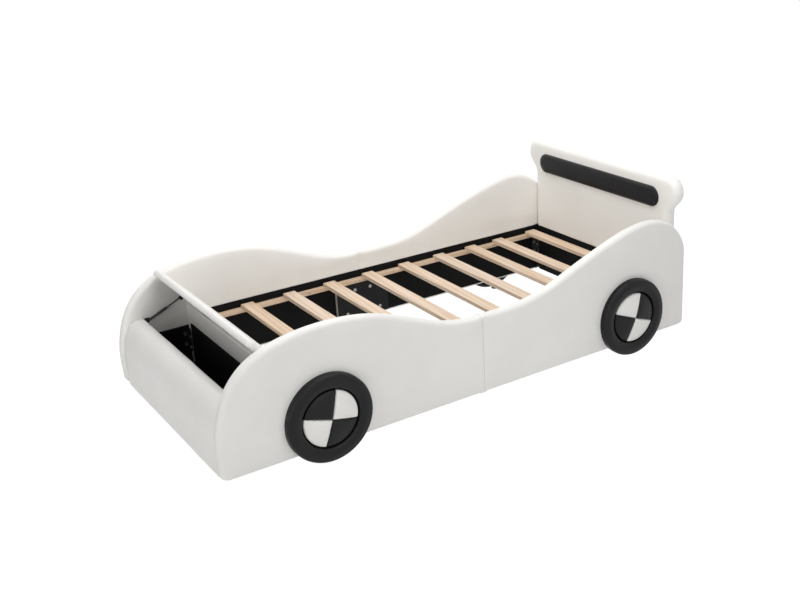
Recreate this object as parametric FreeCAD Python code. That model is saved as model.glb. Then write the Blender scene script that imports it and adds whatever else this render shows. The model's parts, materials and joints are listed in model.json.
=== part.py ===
"""Upholstered car bed for a child, in millimetres.

The bed is as wide as X, as long as Y (its nose at -Y, its headboard at +Y) and stands on Z = 0.
Everything is built with y = 0 at the foot of the nose panel and z = 0 under the side panels;
place() moves it to the part's own frame, whose origin is under the middle of the bed.
"""
import FreeCAD, Part
import math
import os
from FreeCAD import Vector

# ---- driving sizes -----------------------------------------------------------------------------
MATTRESS_WIDTH = 990.0
MATTRESS_LENGTH = 1905.0
SIDE_PLAY = 5.0  # each side of the mattress
END_PLAY = 10.0  # each end of the mattress
FOOT_HEIGHT = 50.0  # ground to the underside of the panels

SIDE_THICK = 50.0
NOSE_THICK = 45.0
STORAGE_DEPTH = 246.0  # nose panel to partition
PARTITION_THICK = 40.0
HEADBOARD_THICK = 65.0
TAIL = 14.0  # side panels past the headboard
SEAM_SETBACK = 129.5  # the side panels are split this far ahead of the middle of the well

COVER_SKIN = 16.0  # foam and upholstery over the edge of a board
COVER_FACE = 5.0  # thin wadding on an inner face
EDGE_ROUND = 19.0  # padded edges
SEAM_ROUND = 5.0
BOARD_THICK = 29.0  # hollow-core board inside a side panel
LINING_THICK = 4.0
LINING_INSET = 14.0
WELL_LINING_TOP = 258.0
STORAGE_LINING_TOP = 203.0

# nose panel
NOSE_FRONT = 2.0
NOSE_ROLL_START = 150.0
NOSE_TOP = 287.0
NOSE_ROLL_DEPTH = 73.0
NOSE_LIP = 102.0
NOSE_LIP_HEIGHT = 34.0
NOSE_LIP_ROUND = 9.0
NOSE_UNDERCUT = 50.0  # height of the hollow under the lip
NOSE_CORE_INSET = 12.0

# partition and lid
PARTITION_TOP = 312.0
PARTITION_ROUND = 8.0
PARTITION_LINING_TOP = 226.0
PARTITION_LINING_MARGIN = 46.0
LID_GAP = 4.0  # each end of the lid
LID_LENGTH = 220.0
LID_THICK = 30.0
LID_ROUND = 9.0
LID_CORE_THICK = 12.0
LID_CORE_INSET = 14.0
LID_OPEN_DEG = 47.0
AXLE_LIFT = 6.0  # hinge axle above the partition
HINGE_SPREAD = 300.0
HINGE_WIDTH = 60.0
KNUCKLE_RADIUS = 5.0
PIN_RADIUS = 2.5
PIN_PLAY = 0.06
LEAF_THICK = 2.0
MOVING_LEAF_LENGTH = 34.0
FIXED_LEAF_LENGTH = 12.0
KNUCKLE_GAP = 0.5
HINGE_BACK_GAP = 1.0  # knuckle to the lid's back edge

# lid struts
STRUT_INSET = 14.0  # strut line from the side panel
STRUT_FOOT_BACK = 12.0  # foot behind the lip of the nose panel
STRUT_FOOT_DROP = 13.0  # foot below the top of the nose panel
STRUT_GRIP = 50.0  # lid bracket from the axle
STRUT_DROP = 14.0  # lid bracket below the lid
LID_REST_GAP = 0.4  # closed lid above the lip of the nose panel
CYLINDER_RADIUS = 6.0
CYLINDER_LENGTH = 88.0
CYLINDER_START = 9.0
CYLINDER_BORE_PLAY = 0.08
ROD_RADIUS = 3.0
ROD_END_PLAY = 5.0  # rod's end to the bottom of the cylinder with the lid closed
CYLINDER_CAP = 12.0
EYE_RADIUS = 6.5
EYE_THICK = 9.0
STUD_RADIUS = 3.0
STUD_PLAY = 0.06
BRACKET_PLATE = 3.0
BRACKET_WIDTH = 20.0
BODY_GAP = 0.5

# slats and ledgers
SLAT_WIDTH = 60.0
SLAT_THICK = 18.0
SLAT_TOP = 240.0
SLAT_END_GAP = 10.0
SLAT_EDGE = 1.5
FIRST_SLAT = 239.0  # its middle, from the partition
LAST_SLAT = 52.0  # its middle, from the headboard
SLAT_SHIFTS = (0, 6, 11, 16, 19, 21, 14, -15, 0)  # off an even spacing, as the slats are laid by hand
LEDGER_WIDTH = 28.0
LEDGER_HEIGHT = 18.0
LEDGER_END_GAP = 4.0
LEDGER_SEAM_GAP = 1.0  # each side of the seam

# joining plates, brackets and bolts
JOINT_LENGTH = 280.0
JOINT_THICK = 18.0
JOINT_BOTTOM = 20.0
JOINT_UPPER_BOLT = 42.0
JOINT_LOWER_BOLT = 90.0
JOINT_UPPER_Z = 167.0
JOINT_LOWER_Z = 51.0
BRACKET_LEG = 30.0
BRACKET_HEIGHT = 110.0
BRACKET_THICK = 3.0
BRACKET_ROUND = 16.0
BRACKET_BOLT_IN = 18.0  # bolts from the corner
BRACKET_BOTTOM = 85.0
BRACKET_BOLT_LOW = 30.0
BRACKET_BOLT_HIGH = 80.0
BRACKET_BOLT_STAGGER = 14.0  # a bolt into the cross panel below the one into the side
BOLT_RADIUS = 4.0
BOLT_GRIP = 20.0  # shank past what the bolt holds down
BOLT_HEAD_RADIUS = 8.0
BOLT_HEAD_THICK = 4.0
SCREW_RADIUS = 2.5
SCREW_LENGTH = 22.0
SCREW_HEAD_RADIUS = 5.0
SCREW_HEAD_THICK = 1.2
SCREWS_PER_LEDGER = 3
SCREW_FROM_SEAM = {"front": 14.0, "rear": 174.0}  # first screw from the piece's end at the seam

# wheels
WHEEL_RADIUS = 182.0
WHEEL_CLEARANCE = 2.0  # wheel above the ground
FRONT_WHEEL = 432.5
REAR_WHEEL = 335.5  # from the headboard's back
TYRE_INNER = 123.0
TYRE_DEPTH = 34.0
TYRE_ROUND = 14.0
WHEEL_BOARD_RADIUS = 168.0
WHEEL_BOARD_THICK = 12.0
HUB_PLAY = 0.6
HUB_EDGE = 10.0
HUB_CROWN = 16.0
QUARTER_GAP = 0.8
WHEEL_TURN = {"front": -15.0, "rear": -21.0}  # degrees that the quarters are turned by

# headboard
HEAD_PLAY = 1.0  # each side of the headboard, between the side panels
NECK_TOP = 552.0
SPOILER_REACH = 57.0  # each end of the spoiler past the inner face of the side panel
SPOILER_RADIUS = 72.0
SPOILER_MIDDLE = 659.0
HEAD_EDGE_ROUND = 24.0
HEAD_CORE_THICK = 44.0
HEAD_CORE_INSET = 8.0
NECK_FLARE_DEG = 45.0  # the neck leans out by this below the spoiler
HEAD_LINING_TOP = 262.0
PILL_INSET = 54.0  # each end of the pad from the straight side of the headboard
PILL_RADIUS = 51.0
PILL_MIDDLE = 622.0
PILL_THICK = 8.0
PILL_CROWN = 6.0

# storage floor and feet
FLOOR_BOTTOM = 14.0
FLOOR_THICK = 12.0
FOOT_TOP_RADIUS = 20.0
FOOT_BASE_RADIUS = 16.0

# ---- places worked out from the sizes ------------------------------------------------------------
INNER = MATTRESS_WIDTH / 2 + SIDE_PLAY  # inner face of a side panel
OUTER = INNER + SIDE_THICK
NOSE_BACK = NOSE_THICK
PARTITION_FRONT = NOSE_BACK + STORAGE_DEPTH
PARTITION_BACK = PARTITION_FRONT + PARTITION_THICK
HEAD_FRONT = PARTITION_BACK + MATTRESS_LENGTH + 2 * END_PLAY
HEAD_BACK = HEAD_FRONT + HEADBOARD_THICK
TAIL_END = HEAD_BACK + TAIL
SEAM = (PARTITION_BACK + HEAD_FRONT) / 2 - SEAM_SETBACK
SLAT_BOTTOM = SLAT_TOP - SLAT_THICK
LEDGER_BOTTOM = SLAT_BOTTOM - LEDGER_HEIGHT
AXLE_Y = PARTITION_FRONT + PARTITION_THICK / 2
AXLE_Z = PARTITION_TOP + AXLE_LIFT
WHEEL_Z = WHEEL_RADIUS + WHEEL_CLEARANCE - FOOT_HEIGHT
HEAD_HALF = INNER - HEAD_PLAY
SPOILER_HALF = INNER + SPOILER_REACH
PILL_HALF = HEAD_HALF - PILL_INSET
LINING_FACE = INNER + COVER_FACE - LINING_THICK
END_LINING_HALF = LINING_FACE - BRACKET_LEG - BODY_GAP  # linings that end beside a bracket

# The side view of a side panel. Each pair is y and z: the first list runs from the toe over the
# bonnet, measured from the nose, and the second over the tail, measured from the tail's end.
TOE = -8.0
TOE_CORNER = 34.0
FRONT_OUTLINE = [(-12.0, 120.0), (1.0, 232.0), (42.0, 340.0), (128.0, 434.0), (280.0, 493.0),
                 (466.0, 510.0), (640.0, 492.0), (810.0, 437.0), (990.0, 369.0)]
WAIST = 349.0
WAIST_FLAT = 26.0  # level stretch each side of the seam
REAR_OUTLINE = [(1010.0, 351.0), (875.0, 370.0), (700.0, 430.0), (475.0, 512.0), (325.0, 552.0),
                (215.0, 560.0), (115.0, 533.0), (38.0, 468.0)]
TAIL_SHOULDER = 370.0
TAIL_CORNER = 24.0
OUTLINE_SAMPLES = 200  # points on each edge when the foremost one is looked for
CUT_MARGIN = 1.0  # a cutting shape runs past what it cuts by this
SAME_PLANE = 0.01  # an edge nearer to a plane than this lies in it

nodes = {}


def vec(x, y, z):
    return Vector(x, y, z)


def place(shape):
    """Moves a shape from the building frame to the part's frame."""
    foremost = min(point.y for edge in front_edges() for point in edge.discretize(OUTLINE_SAMPLES))
    moved = shape.copy()
    moved.translate(vec(0, -(TAIL_END + foremost) / 2, FOOT_HEIGHT))
    return moved


def add(name, shapes):
    """Keeps one node made of one or more separate solids."""
    solids = []
    for shape in shapes:
        solids.extend(shape.Solids)
    nodes[name] = solids


def mirrored(shape):
    return shape.mirror(vec(0, 0, 0), vec(1, 0, 0))


def both_sides(shape):
    return [shape, mirrored(shape)]


def block(x0, x1, y0, y1, z0, z1):
    return Part.makeBox(x1 - x0, y1 - y0, z1 - z0, vec(x0, y0, z0))


def rod_x(radius, x0, x1, y, z):
    return Part.makeCylinder(radius, x1 - x0, vec(x0, y, z), vec(1, 0, 0))


def rod_y(radius, y0, y1, x, z):
    return Part.makeCylinder(radius, y1 - y0, vec(x, y0, z), vec(0, 1, 0))


def smooth_curve(points, start, end):
    curve = Part.BSplineCurve()
    curve.interpolate(Points=[vec(0, y, z) for y, z in points], InitialTangent=vec(0, *start),
                      FinalTangent=vec(0, *end), Scale=False)
    return curve


def spline(points, start, end, inwards=0.0):
    """One smooth curve through points (y, z) in the plane x = 0, with its two end directions.

    The points are first moved to the curve's right-hand side by inwards.
    """
    curve = smooth_curve(points, start, end)
    if inwards:
        moved = []
        for y, z in points:
            along = curve.tangent(curve.parameter(vec(0, y, z)))[0]
            moved.append((y + along.z * inwards, z - along.y * inwards))
        curve = smooth_curve(moved, start, end)
    return curve.toShape()


def line(a, b):
    return Part.makeLine(vec(0, *a), vec(0, *b))


def arc(a, middle, b):
    return Part.Arc(vec(0, *a), vec(0, *middle), vec(0, *b)).toShape()


def extruded(edges, x0, x1):
    """A face in the plane x = 0, carried from x0 to x1."""
    face = Part.Face(Part.Wire(Part.__sortEdges__(edges)))
    face.translate(vec(x0, 0, 0))
    return face.extrude(vec(x1 - x0, 0, 0))


def rim(shape, normal_axis, values, test=None):
    """Edges that lie in one of the planes normal_axis = value and pass the test."""
    found = []
    for edge in shape.Edges:
        box = edge.BoundBox
        low, high = {"x": (box.XMin, box.XMax), "y": (box.YMin, box.YMax),
                     "z": (box.ZMin, box.ZMax)}[normal_axis]
        if any(abs(low - v) < SAME_PLANE and abs(high - v) < SAME_PLANE for v in values):
            if test is None or test(edge):
                found.append(edge)
    return found


# ---- side panels ---------------------------------------------------------------------------------
def front_edges(inwards=0.0):
    """Outline of a front half, drawn in by inwards."""
    c = TOE_CORNER - inwards
    s = c * (1 - math.sqrt(0.5))
    toe = TOE + inwards
    seam, waist = SEAM - inwards, WAIST - inwards
    flat = SEAM - WAIST_FLAT
    top = spline([(TOE, TOE_CORNER)] + FRONT_OUTLINE + [(flat, WAIST)], (0, 1), (1, 0), inwards)
    return [top, line((flat, waist), (seam, waist)), line((seam, waist), (seam, inwards)),
            line((seam, inwards), (toe + c, inwards)),
            arc((toe + c, inwards), (toe + s, inwards + s), (toe, inwards + c))]


def rear_edges(inwards=0.0):
    """Outline of a rear half, drawn in by inwards."""
    c = TAIL_CORNER - inwards
    s = c * (1 - math.sqrt(0.5))
    tail = TAIL_END - inwards
    seam, waist = SEAM + inwards, WAIST - inwards
    flat = SEAM + WAIST_FLAT
    points = [(flat, WAIST)] + [(TAIL_END - back, z) for back, z in REAR_OUTLINE]
    top = spline(points + [(TAIL_END, TAIL_SHOULDER)], (1, 0), (0, -1), inwards)
    return [top, line((tail, TAIL_SHOULDER), (tail, inwards + c)),
            arc((tail, inwards + c), (tail - s, inwards + s), (tail - c, inwards)),
            line((tail - c, inwards), (seam, inwards)), line((seam, inwards), (seam, waist)),
            line((seam, waist), (flat, waist))]


def lining_shape(half, thick):
    """The black lining on the inner face of one half, as a plate of that thickness."""
    x0 = INNER + COVER_FACE - thick
    x1 = INNER + COVER_FACE
    if half == "front":
        low = block(x0, x1, NOSE_BACK, PARTITION_FRONT + PARTITION_THICK / 2, LINING_INSET,
                    STORAGE_LINING_TOP)
        high = block(x0, x1, PARTITION_FRONT + PARTITION_THICK / 2, SEAM,
                     LINING_INSET, WELL_LINING_TOP)
        return low.fuse(high).removeSplitter()
    return block(x0, x1, SEAM, HEAD_FRONT, LINING_INSET, WELL_LINING_TOP)


def side_half(half):
    """Cover, board and lining of one half of the near side panel."""
    outline = front_edges if half == "front" else rear_edges
    body = extruded(outline(), INNER, OUTER)

    def padded(edge):
        box = edge.BoundBox
        return not (abs(box.YMin - SEAM) < SAME_PLANE and abs(box.YMax - SEAM) < SAME_PLANE)

    body = body.makeFillet(EDGE_ROUND, rim(body, "x", (INNER, OUTER), padded))
    body = body.makeFillet(SEAM_ROUND, rim(body, "y", (SEAM,)))
    x0 = INNER + COVER_FACE
    board = extruded(outline(COVER_SKIN), x0, x0 + BOARD_THICK)
    recess = lining_shape(half, COVER_FACE)
    cover = body.cut(board).cut(recess)
    return cover, board, lining_shape(half, LINING_THICK)


def side_panels():
    for half in ("front", "rear"):
        cover, board, lining = side_half(half)
        for side, turn in (("near", False), ("far", True)):
            for name, shape in (("cover", cover), ("board", board), ("lining", lining)):
                add(f"{side}_side_{half}_{name}", [mirrored(shape) if turn else shape])


# ---- nose panel ----------------------------------------------------------------------------------
def nose_edges():
    """Section of the nose panel: an upright wall whose top rolls back into a lip."""
    roll_y = NOSE_FRONT + NOSE_ROLL_DEPTH
    under = NOSE_TOP - NOSE_LIP_HEIGHT
    r = NOSE_LIP_ROUND
    s = r * (1 - math.sqrt(0.5))
    half = math.sqrt(0.5)
    drop = NOSE_TOP - NOSE_ROLL_START
    outer = spline([(NOSE_FRONT, NOSE_ROLL_START),
                    (roll_y - NOSE_ROLL_DEPTH * half, NOSE_ROLL_START + drop * half),
                    (roll_y, NOSE_TOP)], (0, 1), (1, 0))
    foot = under - NOSE_UNDERCUT
    inner = spline([(NOSE_LIP, under), (NOSE_BACK, foot)], (-1, 0), (0, -1))
    return [line((NOSE_FRONT, 0), (NOSE_FRONT, NOSE_ROLL_START)), outer,
            line((roll_y, NOSE_TOP), (NOSE_LIP - r, NOSE_TOP)),
            arc((NOSE_LIP - r, NOSE_TOP), (NOSE_LIP - s, NOSE_TOP - s), (NOSE_LIP, NOSE_TOP - r)),
            line((NOSE_LIP, NOSE_TOP - r), (NOSE_LIP, under)), inner,
            line((NOSE_BACK, foot), (NOSE_BACK, 0)),
            line((NOSE_BACK, 0), (NOSE_FRONT, 0))]


def nose_panel():
    top = NOSE_TOP - NOSE_LIP_HEIGHT - NOSE_UNDERCUT
    body = extruded(nose_edges(), -INNER, INNER)
    x = INNER - NOSE_CORE_INSET
    core = block(-x, x, NOSE_FRONT + NOSE_CORE_INSET,
                 NOSE_BACK - NOSE_CORE_INSET, NOSE_CORE_INSET, top)
    add("nose_cover", [body.cut(core)])
    add("nose_board", [core])
    add("nose_lining", [block(-END_LINING_HALF, END_LINING_HALF, NOSE_BACK,
                              NOSE_BACK + LINING_THICK, FLOOR_BOTTOM + FLOOR_THICK, top)])


# ---- partition, storage floor --------------------------------------------------------------------
def partition():
    body = block(-INNER, INNER, PARTITION_FRONT, PARTITION_BACK, 0, PARTITION_TOP)
    top = rim(body, "z", (PARTITION_TOP,), lambda e: e.BoundBox.XLength > PARTITION_THICK)
    body = body.makeFillet(PARTITION_ROUND, top)
    skin = COVER_SKIN - COVER_FACE
    core = block(-INNER + skin, INNER - skin, PARTITION_FRONT + skin, PARTITION_BACK - skin, skin,
                 PARTITION_TOP - skin)
    add("partition_cover", [body.cut(core)])
    add("partition_board", [core])
    x = INNER - PARTITION_LINING_MARGIN
    add("partition_lining", [block(-x, x, PARTITION_FRONT - LINING_THICK, PARTITION_FRONT,
                                   FLOOR_BOTTOM + FLOOR_THICK, PARTITION_LINING_TOP)])
    add("storage_floor", [block(-INNER, INNER, NOSE_BACK, PARTITION_FRONT, FLOOR_BOTTOM,
                                FLOOR_BOTTOM + FLOOR_THICK)])


# ---- lid and its hinges --------------------------------------------------------------------------
def opened(shape):
    """Turns a shape built with the lid level to the angle at which the lid stands open."""
    turned = shape.copy()
    turned.rotate(vec(0, AXLE_Y, AXLE_Z), vec(1, 0, 0), -LID_OPEN_DEG)
    return turned


def lid():
    x = INNER - LID_GAP
    back = AXLE_Y - KNUCKLE_RADIUS - HINGE_BACK_GAP
    body = block(-x, x, back - LID_LENGTH, back, AXLE_Z, AXLE_Z + LID_THICK)
    body = body.makeFillet(LID_ROUND, body.Edges)
    inset_y = LID_CORE_INSET
    core = block(-x + inset_y, x - inset_y, back - LID_LENGTH + inset_y, back - inset_y, AXLE_Z,
                 AXLE_Z + LID_CORE_THICK)
    add("lid_cover", [opened(body.cut(core))])
    add("lid_board", [opened(core)])


def hinge_parts(x):
    """One butt hinge: the leaf on the partition, the leaf under the lid and the pin."""
    third = HINGE_WIDTH / 3
    half = HINGE_WIDTH / 2
    middle0 = x - third / 2 + KNUCKLE_GAP
    middle1 = x + third / 2 - KNUCKLE_GAP
    pin = rod_x(PIN_RADIUS, x - half, x + half, AXLE_Y, AXLE_Z)
    fixed = rod_x(KNUCKLE_RADIUS, middle0, middle1, AXLE_Y, AXLE_Z)
    fixed = fixed.fuse(block(middle0, middle1, AXLE_Y, AXLE_Y + KNUCKLE_RADIUS,
                             PARTITION_TOP, AXLE_Z))
    fixed = fixed.fuse(block(x - half, x + half, AXLE_Y + KNUCKLE_RADIUS,
                             AXLE_Y + FIXED_LEAF_LENGTH, PARTITION_TOP,
                             PARTITION_TOP + LEAF_THICK))
    fixed = fixed.fuse(block(middle0, middle1, AXLE_Y, AXLE_Y + FIXED_LEAF_LENGTH, PARTITION_TOP,
                             PARTITION_TOP + LEAF_THICK))
    fixed = fixed.cut(rod_x(PIN_RADIUS, x - half, x + half, AXLE_Y, AXLE_Z)).removeSplitter()
    moving = block(x - half, x + half, AXLE_Y - MOVING_LEAF_LENGTH,
                   AXLE_Y - KNUCKLE_RADIUS - HINGE_BACK_GAP,
                   AXLE_Z - LEAF_THICK, AXLE_Z)
    for x0, x1 in ((x - half, x - third / 2), (x + third / 2, x + half)):
        knuckle = rod_x(KNUCKLE_RADIUS, x0, x1, AXLE_Y, AXLE_Z)
        web = block(x0, x1, AXLE_Y - KNUCKLE_RADIUS - 2 * HINGE_BACK_GAP, AXLE_Y,
                    AXLE_Z - LEAF_THICK, AXLE_Z)
        moving = moving.fuse(knuckle).fuse(web)
    bore = rod_x(PIN_RADIUS + PIN_PLAY, x - half - CUT_MARGIN, x + half + CUT_MARGIN, AXLE_Y, AXLE_Z)
    moving = moving.cut(bore).removeSplitter()
    return fixed, opened(moving), pin


def hinges():
    sets = [hinge_parts(x) for x in (-HINGE_SPREAD, HINGE_SPREAD)]
    add("hinge_fixed_leaves", [s[0] for s in sets])
    add("hinge_moving_leaves", [s[1] for s in sets])
    add("hinge_pins", [s[2] for s in sets])


# ---- lid struts ----------------------------------------------------------------------------------
def strut_ends():
    """The foot pivot and, with the lid open, the pivot on the lid, as (y, z)."""
    foot = (NOSE_LIP + STRUT_FOOT_BACK, NOSE_TOP - STRUT_FOOT_DROP)
    a = math.radians(LID_OPEN_DEG)
    head = (AXLE_Y - STRUT_GRIP * math.cos(a) - STRUT_DROP * math.sin(a),
            AXLE_Z + STRUT_GRIP * math.sin(a) - STRUT_DROP * math.cos(a))
    return foot, head


def lid_travel():
    """How far the lid turns from standing open to resting on the nose panel, in degrees."""
    reach = LID_LENGTH + KNUCKLE_RADIUS + HINGE_BACK_GAP
    drop = AXLE_Z - NOSE_TOP - LID_REST_GAP
    return LID_OPEN_DEG + math.degrees(math.asin(drop / reach))


def length_and_tilt(foot, head):
    run = math.hypot(head[0] - foot[0], head[1] - foot[1])
    return run, math.degrees(math.atan2(head[1] - foot[1], head[0] - foot[0]))


def struts():
    foot, head = strut_ends()
    run, tilt = length_and_tilt(foot, head)
    a = math.radians(lid_travel())
    arm = (head[0] - AXLE_Y, head[1] - AXLE_Z)
    closed_head = (AXLE_Y + arm[0] * math.cos(a) - arm[1] * math.sin(a),
                   AXLE_Z + arm[0] * math.sin(a) + arm[1] * math.cos(a))
    short_run, low_tilt = length_and_tilt(foot, closed_head)
    print(f"lid turns {lid_travel():.3f} degrees; strut {run:.3f} to {short_run:.3f} mm long,"
          f" tilted {tilt:.4f} to {low_tilt:.4f} degrees")
    x = INNER - STRUT_INSET

    def aimed(shape):
        turned = shape.copy()
        turned.rotate(vec(0, foot[0], foot[1]), vec(1, 0, 0), tilt)
        return turned

    y0, z0 = foot
    eye_x0 = x - EYE_THICK / 2
    eye_x1 = x + EYE_THICK / 2

    def stud_hole(y):
        return rod_x(STUD_RADIUS + STUD_PLAY, eye_x0 - CUT_MARGIN, eye_x1 + CUT_MARGIN, y, z0)

    tube = rod_y(CYLINDER_RADIUS, y0 + CYLINDER_START, y0 + CYLINDER_START + CYLINDER_LENGTH,
                 x, z0)
    bore_start = y0 + CYLINDER_START + CYLINDER_CAP
    bore = rod_y(ROD_RADIUS + CYLINDER_BORE_PLAY, bore_start,
                 y0 + CYLINDER_START + CYLINDER_LENGTH + CUT_MARGIN, x, z0)
    tube = tube.cut(bore)
    lower_eye = rod_x(EYE_RADIUS, eye_x0, eye_x1, y0, z0)
    lower_eye = lower_eye.fuse(rod_y(ROD_RADIUS, y0, y0 + CYLINDER_START, x, z0))
    lower_eye = lower_eye.cut(stud_hole(y0))
    rod = rod_y(ROD_RADIUS, bore_start + run - short_run + ROD_END_PLAY, y0 + run, x, z0)
    upper_eye = rod_x(EYE_RADIUS, eye_x0, eye_x1, y0 + run, z0)
    rod = rod.cut(upper_eye)
    upper_eye = upper_eye.cut(stud_hole(y0 + run))
    cylinder = [aimed(tube), aimed(lower_eye)]
    plunger = [aimed(rod), aimed(upper_eye)]
    add("near_strut_cylinder", cylinder)
    add("near_strut_rod", plunger)
    add("far_strut_cylinder", [mirrored(s) for s in cylinder])
    add("far_strut_rod", [mirrored(s) for s in plunger])

    half = BRACKET_WIDTH / 2
    plate = block(INNER - BRACKET_PLATE, INNER, y0 - half, y0 + half, z0 - half, z0 + half)
    stud = rod_x(STUD_RADIUS, eye_x0, INNER - BRACKET_PLATE, y0, z0)
    add("strut_foot_brackets", both_sides(plate.fuse(stud).removeSplitter()))

    gy = AXLE_Y - STRUT_GRIP
    gz = AXLE_Z - STRUT_DROP
    cheek_x1 = eye_x0 - BODY_GAP
    cheek = block(cheek_x1 - BRACKET_PLATE, cheek_x1, gy - half, gy + half,
                  gz - EYE_RADIUS, AXLE_Z)
    flange = block(cheek_x1 - BRACKET_WIDTH, cheek_x1, gy - half, gy + half, AXLE_Z - LEAF_THICK,
                   AXLE_Z)
    add("strut_lid_brackets", both_sides(opened(cheek.fuse(flange).removeSplitter())))


# ---- slats and ledgers ---------------------------------------------------------------------------
def slat_places():
    first = PARTITION_BACK + FIRST_SLAT
    last = HEAD_FRONT - LAST_SLAT
    step = (last - first) / (len(SLAT_SHIFTS) - 1)
    return [first + i * step + shift for i, shift in enumerate(SLAT_SHIFTS)]


def slats():
    x = INNER - SLAT_END_GAP
    for i, y in enumerate(slat_places()):
        body = block(-x, x, y - SLAT_WIDTH / 2, y + SLAT_WIDTH / 2, SLAT_BOTTOM, SLAT_TOP)
        add(f"slat_{i + 1}", [body.makeChamfer(SLAT_EDGE, rim(body, "z", (SLAT_TOP,)))])


def ledgers():
    """The battens under the slats' ends, a front and a rear piece a side, and their screws."""
    screws = []
    pieces = {"front": (SEAM - LEDGER_SEAM_GAP, PARTITION_BACK + LEDGER_END_GAP),
              "rear": (SEAM + LEDGER_SEAM_GAP, HEAD_FRONT - LEDGER_END_GAP)}
    x1 = LINING_FACE
    x0 = x1 - LEDGER_WIDTH
    z = LEDGER_BOTTOM + LEDGER_HEIGHT / 2
    for name, (start, end) in pieces.items():
        beam = block(x0, x1, min(start, end), max(start, end), LEDGER_BOTTOM, SLAT_BOTTOM)
        away = math.copysign(1, end - start)
        step = (abs(end - start) - SCREW_FROM_SEAM[name]) / SCREWS_PER_LEDGER
        for i in range(SCREWS_PER_LEDGER):
            y = start + away * (SCREW_FROM_SEAM[name] + i * step)
            head = rod_x(SCREW_HEAD_RADIUS, x0, x0 + SCREW_HEAD_THICK, y, z)
            screw = head.fuse(rod_x(SCREW_RADIUS, x0, x0 + SCREW_LENGTH, y, z)).removeSplitter()
            beam = beam.cut(screw)
            screws.extend(both_sides(screw))
        add(f"ledgers_{name}", both_sides(beam))
    add("ledger_screws", screws)


# ---- joining plates, corner brackets and bolts ----------------------------------------------------
def bolt_x(held, y, z):
    """A bolt along X whose head lies on a piece of thickness held on the side lining."""
    face = LINING_FACE - held
    head = rod_x(BOLT_HEAD_RADIUS, face - BOLT_HEAD_THICK, face, y, z)
    return head.fuse(rod_x(BOLT_RADIUS, face, LINING_FACE + BOLT_GRIP, y, z)).removeSplitter()


def bolt_y(wall, away, x, z):
    """A bolt along Y through a bracket on a wall; away is the way its head stands off."""
    face = wall + away * BRACKET_THICK
    y0, y1 = sorted((face, face + away * BOLT_HEAD_THICK))
    s0, s1 = sorted((face, wall - away * BOLT_GRIP))
    head = rod_y(BOLT_HEAD_RADIUS, y0, y1, x, z)
    return head.fuse(rod_y(BOLT_RADIUS, s0, s1, x, z)).removeSplitter()


def joining_plates():
    """The two plates across the middle seams, and their bolts."""
    plate = block(LINING_FACE - JOINT_THICK, LINING_FACE, SEAM - JOINT_LENGTH / 2,
                  SEAM + JOINT_LENGTH / 2, JOINT_BOTTOM, LEDGER_BOTTOM)
    bolts = []
    for reach, z in ((JOINT_UPPER_BOLT, JOINT_UPPER_Z), (JOINT_LOWER_BOLT, JOINT_LOWER_Z)):
        for y in (SEAM - reach, SEAM + reach):
            bolts.append(bolt_x(JOINT_THICK, y, z))
    for bolt in bolts:
        plate = plate.cut(bolt)
    add("joining_plates", both_sides(plate))
    return bolts


def bracket_leg(x0, x1, y0, y1):
    """One upright leg of a corner bracket, with an arched top."""
    z1 = BRACKET_BOTTOM + BRACKET_HEIGHT
    leg = block(x0, x1, y0, y1, BRACKET_BOTTOM, z1)
    corners = [e for e in rim(leg, "z", (z1,)) if abs(e.Length - BRACKET_THICK) < SAME_PLANE]
    radius = min(BRACKET_ROUND, (BRACKET_LEG - BRACKET_THICK) / 2)
    return leg.makeFillet(radius, corners)


def corner_brackets():
    """Brackets that hold the nose panel, the partition and the headboard, and their bolts."""
    brackets, bolts = [], []
    for face_y, away in ((NOSE_BACK, 1), (PARTITION_FRONT, -1), (HEAD_FRONT, -1)):
        y0, y1 = sorted((face_y, face_y + away * BRACKET_LEG))
        t0, t1 = sorted((face_y, face_y + away * BRACKET_THICK))
        side_leg = bracket_leg(LINING_FACE - BRACKET_THICK, LINING_FACE, y0, y1)
        face_leg = bracket_leg(LINING_FACE - BRACKET_LEG, LINING_FACE, t0, t1)
        bracket = side_leg.fuse(face_leg).removeSplitter()
        for lift in (BRACKET_BOLT_LOW, BRACKET_BOLT_HIGH):
            z = BRACKET_BOTTOM + lift
            to_side = bolt_x(BRACKET_THICK, face_y + away * BRACKET_BOLT_IN, z)
            to_face = bolt_y(face_y, away, LINING_FACE - BRACKET_BOLT_IN, z - BRACKET_BOLT_STAGGER)
            bracket = bracket.cut(to_side).cut(to_face)
            bolts.extend([to_side, to_face])
        brackets.append(bracket)
    add("corner_brackets", [s for b in brackets for s in both_sides(b)])
    return bolts


def drill(bolts):
    """Cuts the bolts' holes in everything that they pass through."""
    for name, solids in nodes.items():
        drilled = []
        for solid in solids:
            for bolt in bolts:
                if solid.BoundBox.intersect(bolt.BoundBox):
                    solid = solid.cut(bolt)
            drilled.extend(solid.Solids)
        nodes[name] = drilled


def fixings():
    bolts = [s for bolt in joining_plates() + corner_brackets() for s in both_sides(bolt)]
    drill(bolts)
    add("assembly_bolts", bolts)


# ---- wheels --------------------------------------------------------------------------------------
def ring_section():
    """Half section of a padded tyre in x (depth) and r, rounded at its two outer corners."""
    r0, r1, d, c = TYRE_INNER, WHEEL_RADIUS, TYRE_DEPTH, TYRE_ROUND
    s = c * (1 - math.sqrt(0.5))
    return [((0, r0), None, (d - c, r0)), ((d - c, r0), (d - s, r0 + s), (d, r0 + c)),
            ((d, r0 + c), None, (d, r1 - c)), ((d, r1 - c), (d - s, r1 - s), (d - c, r1)),
            ((d - c, r1), None, (0, r1)), ((0, r1), None, (0, r0))]


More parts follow.
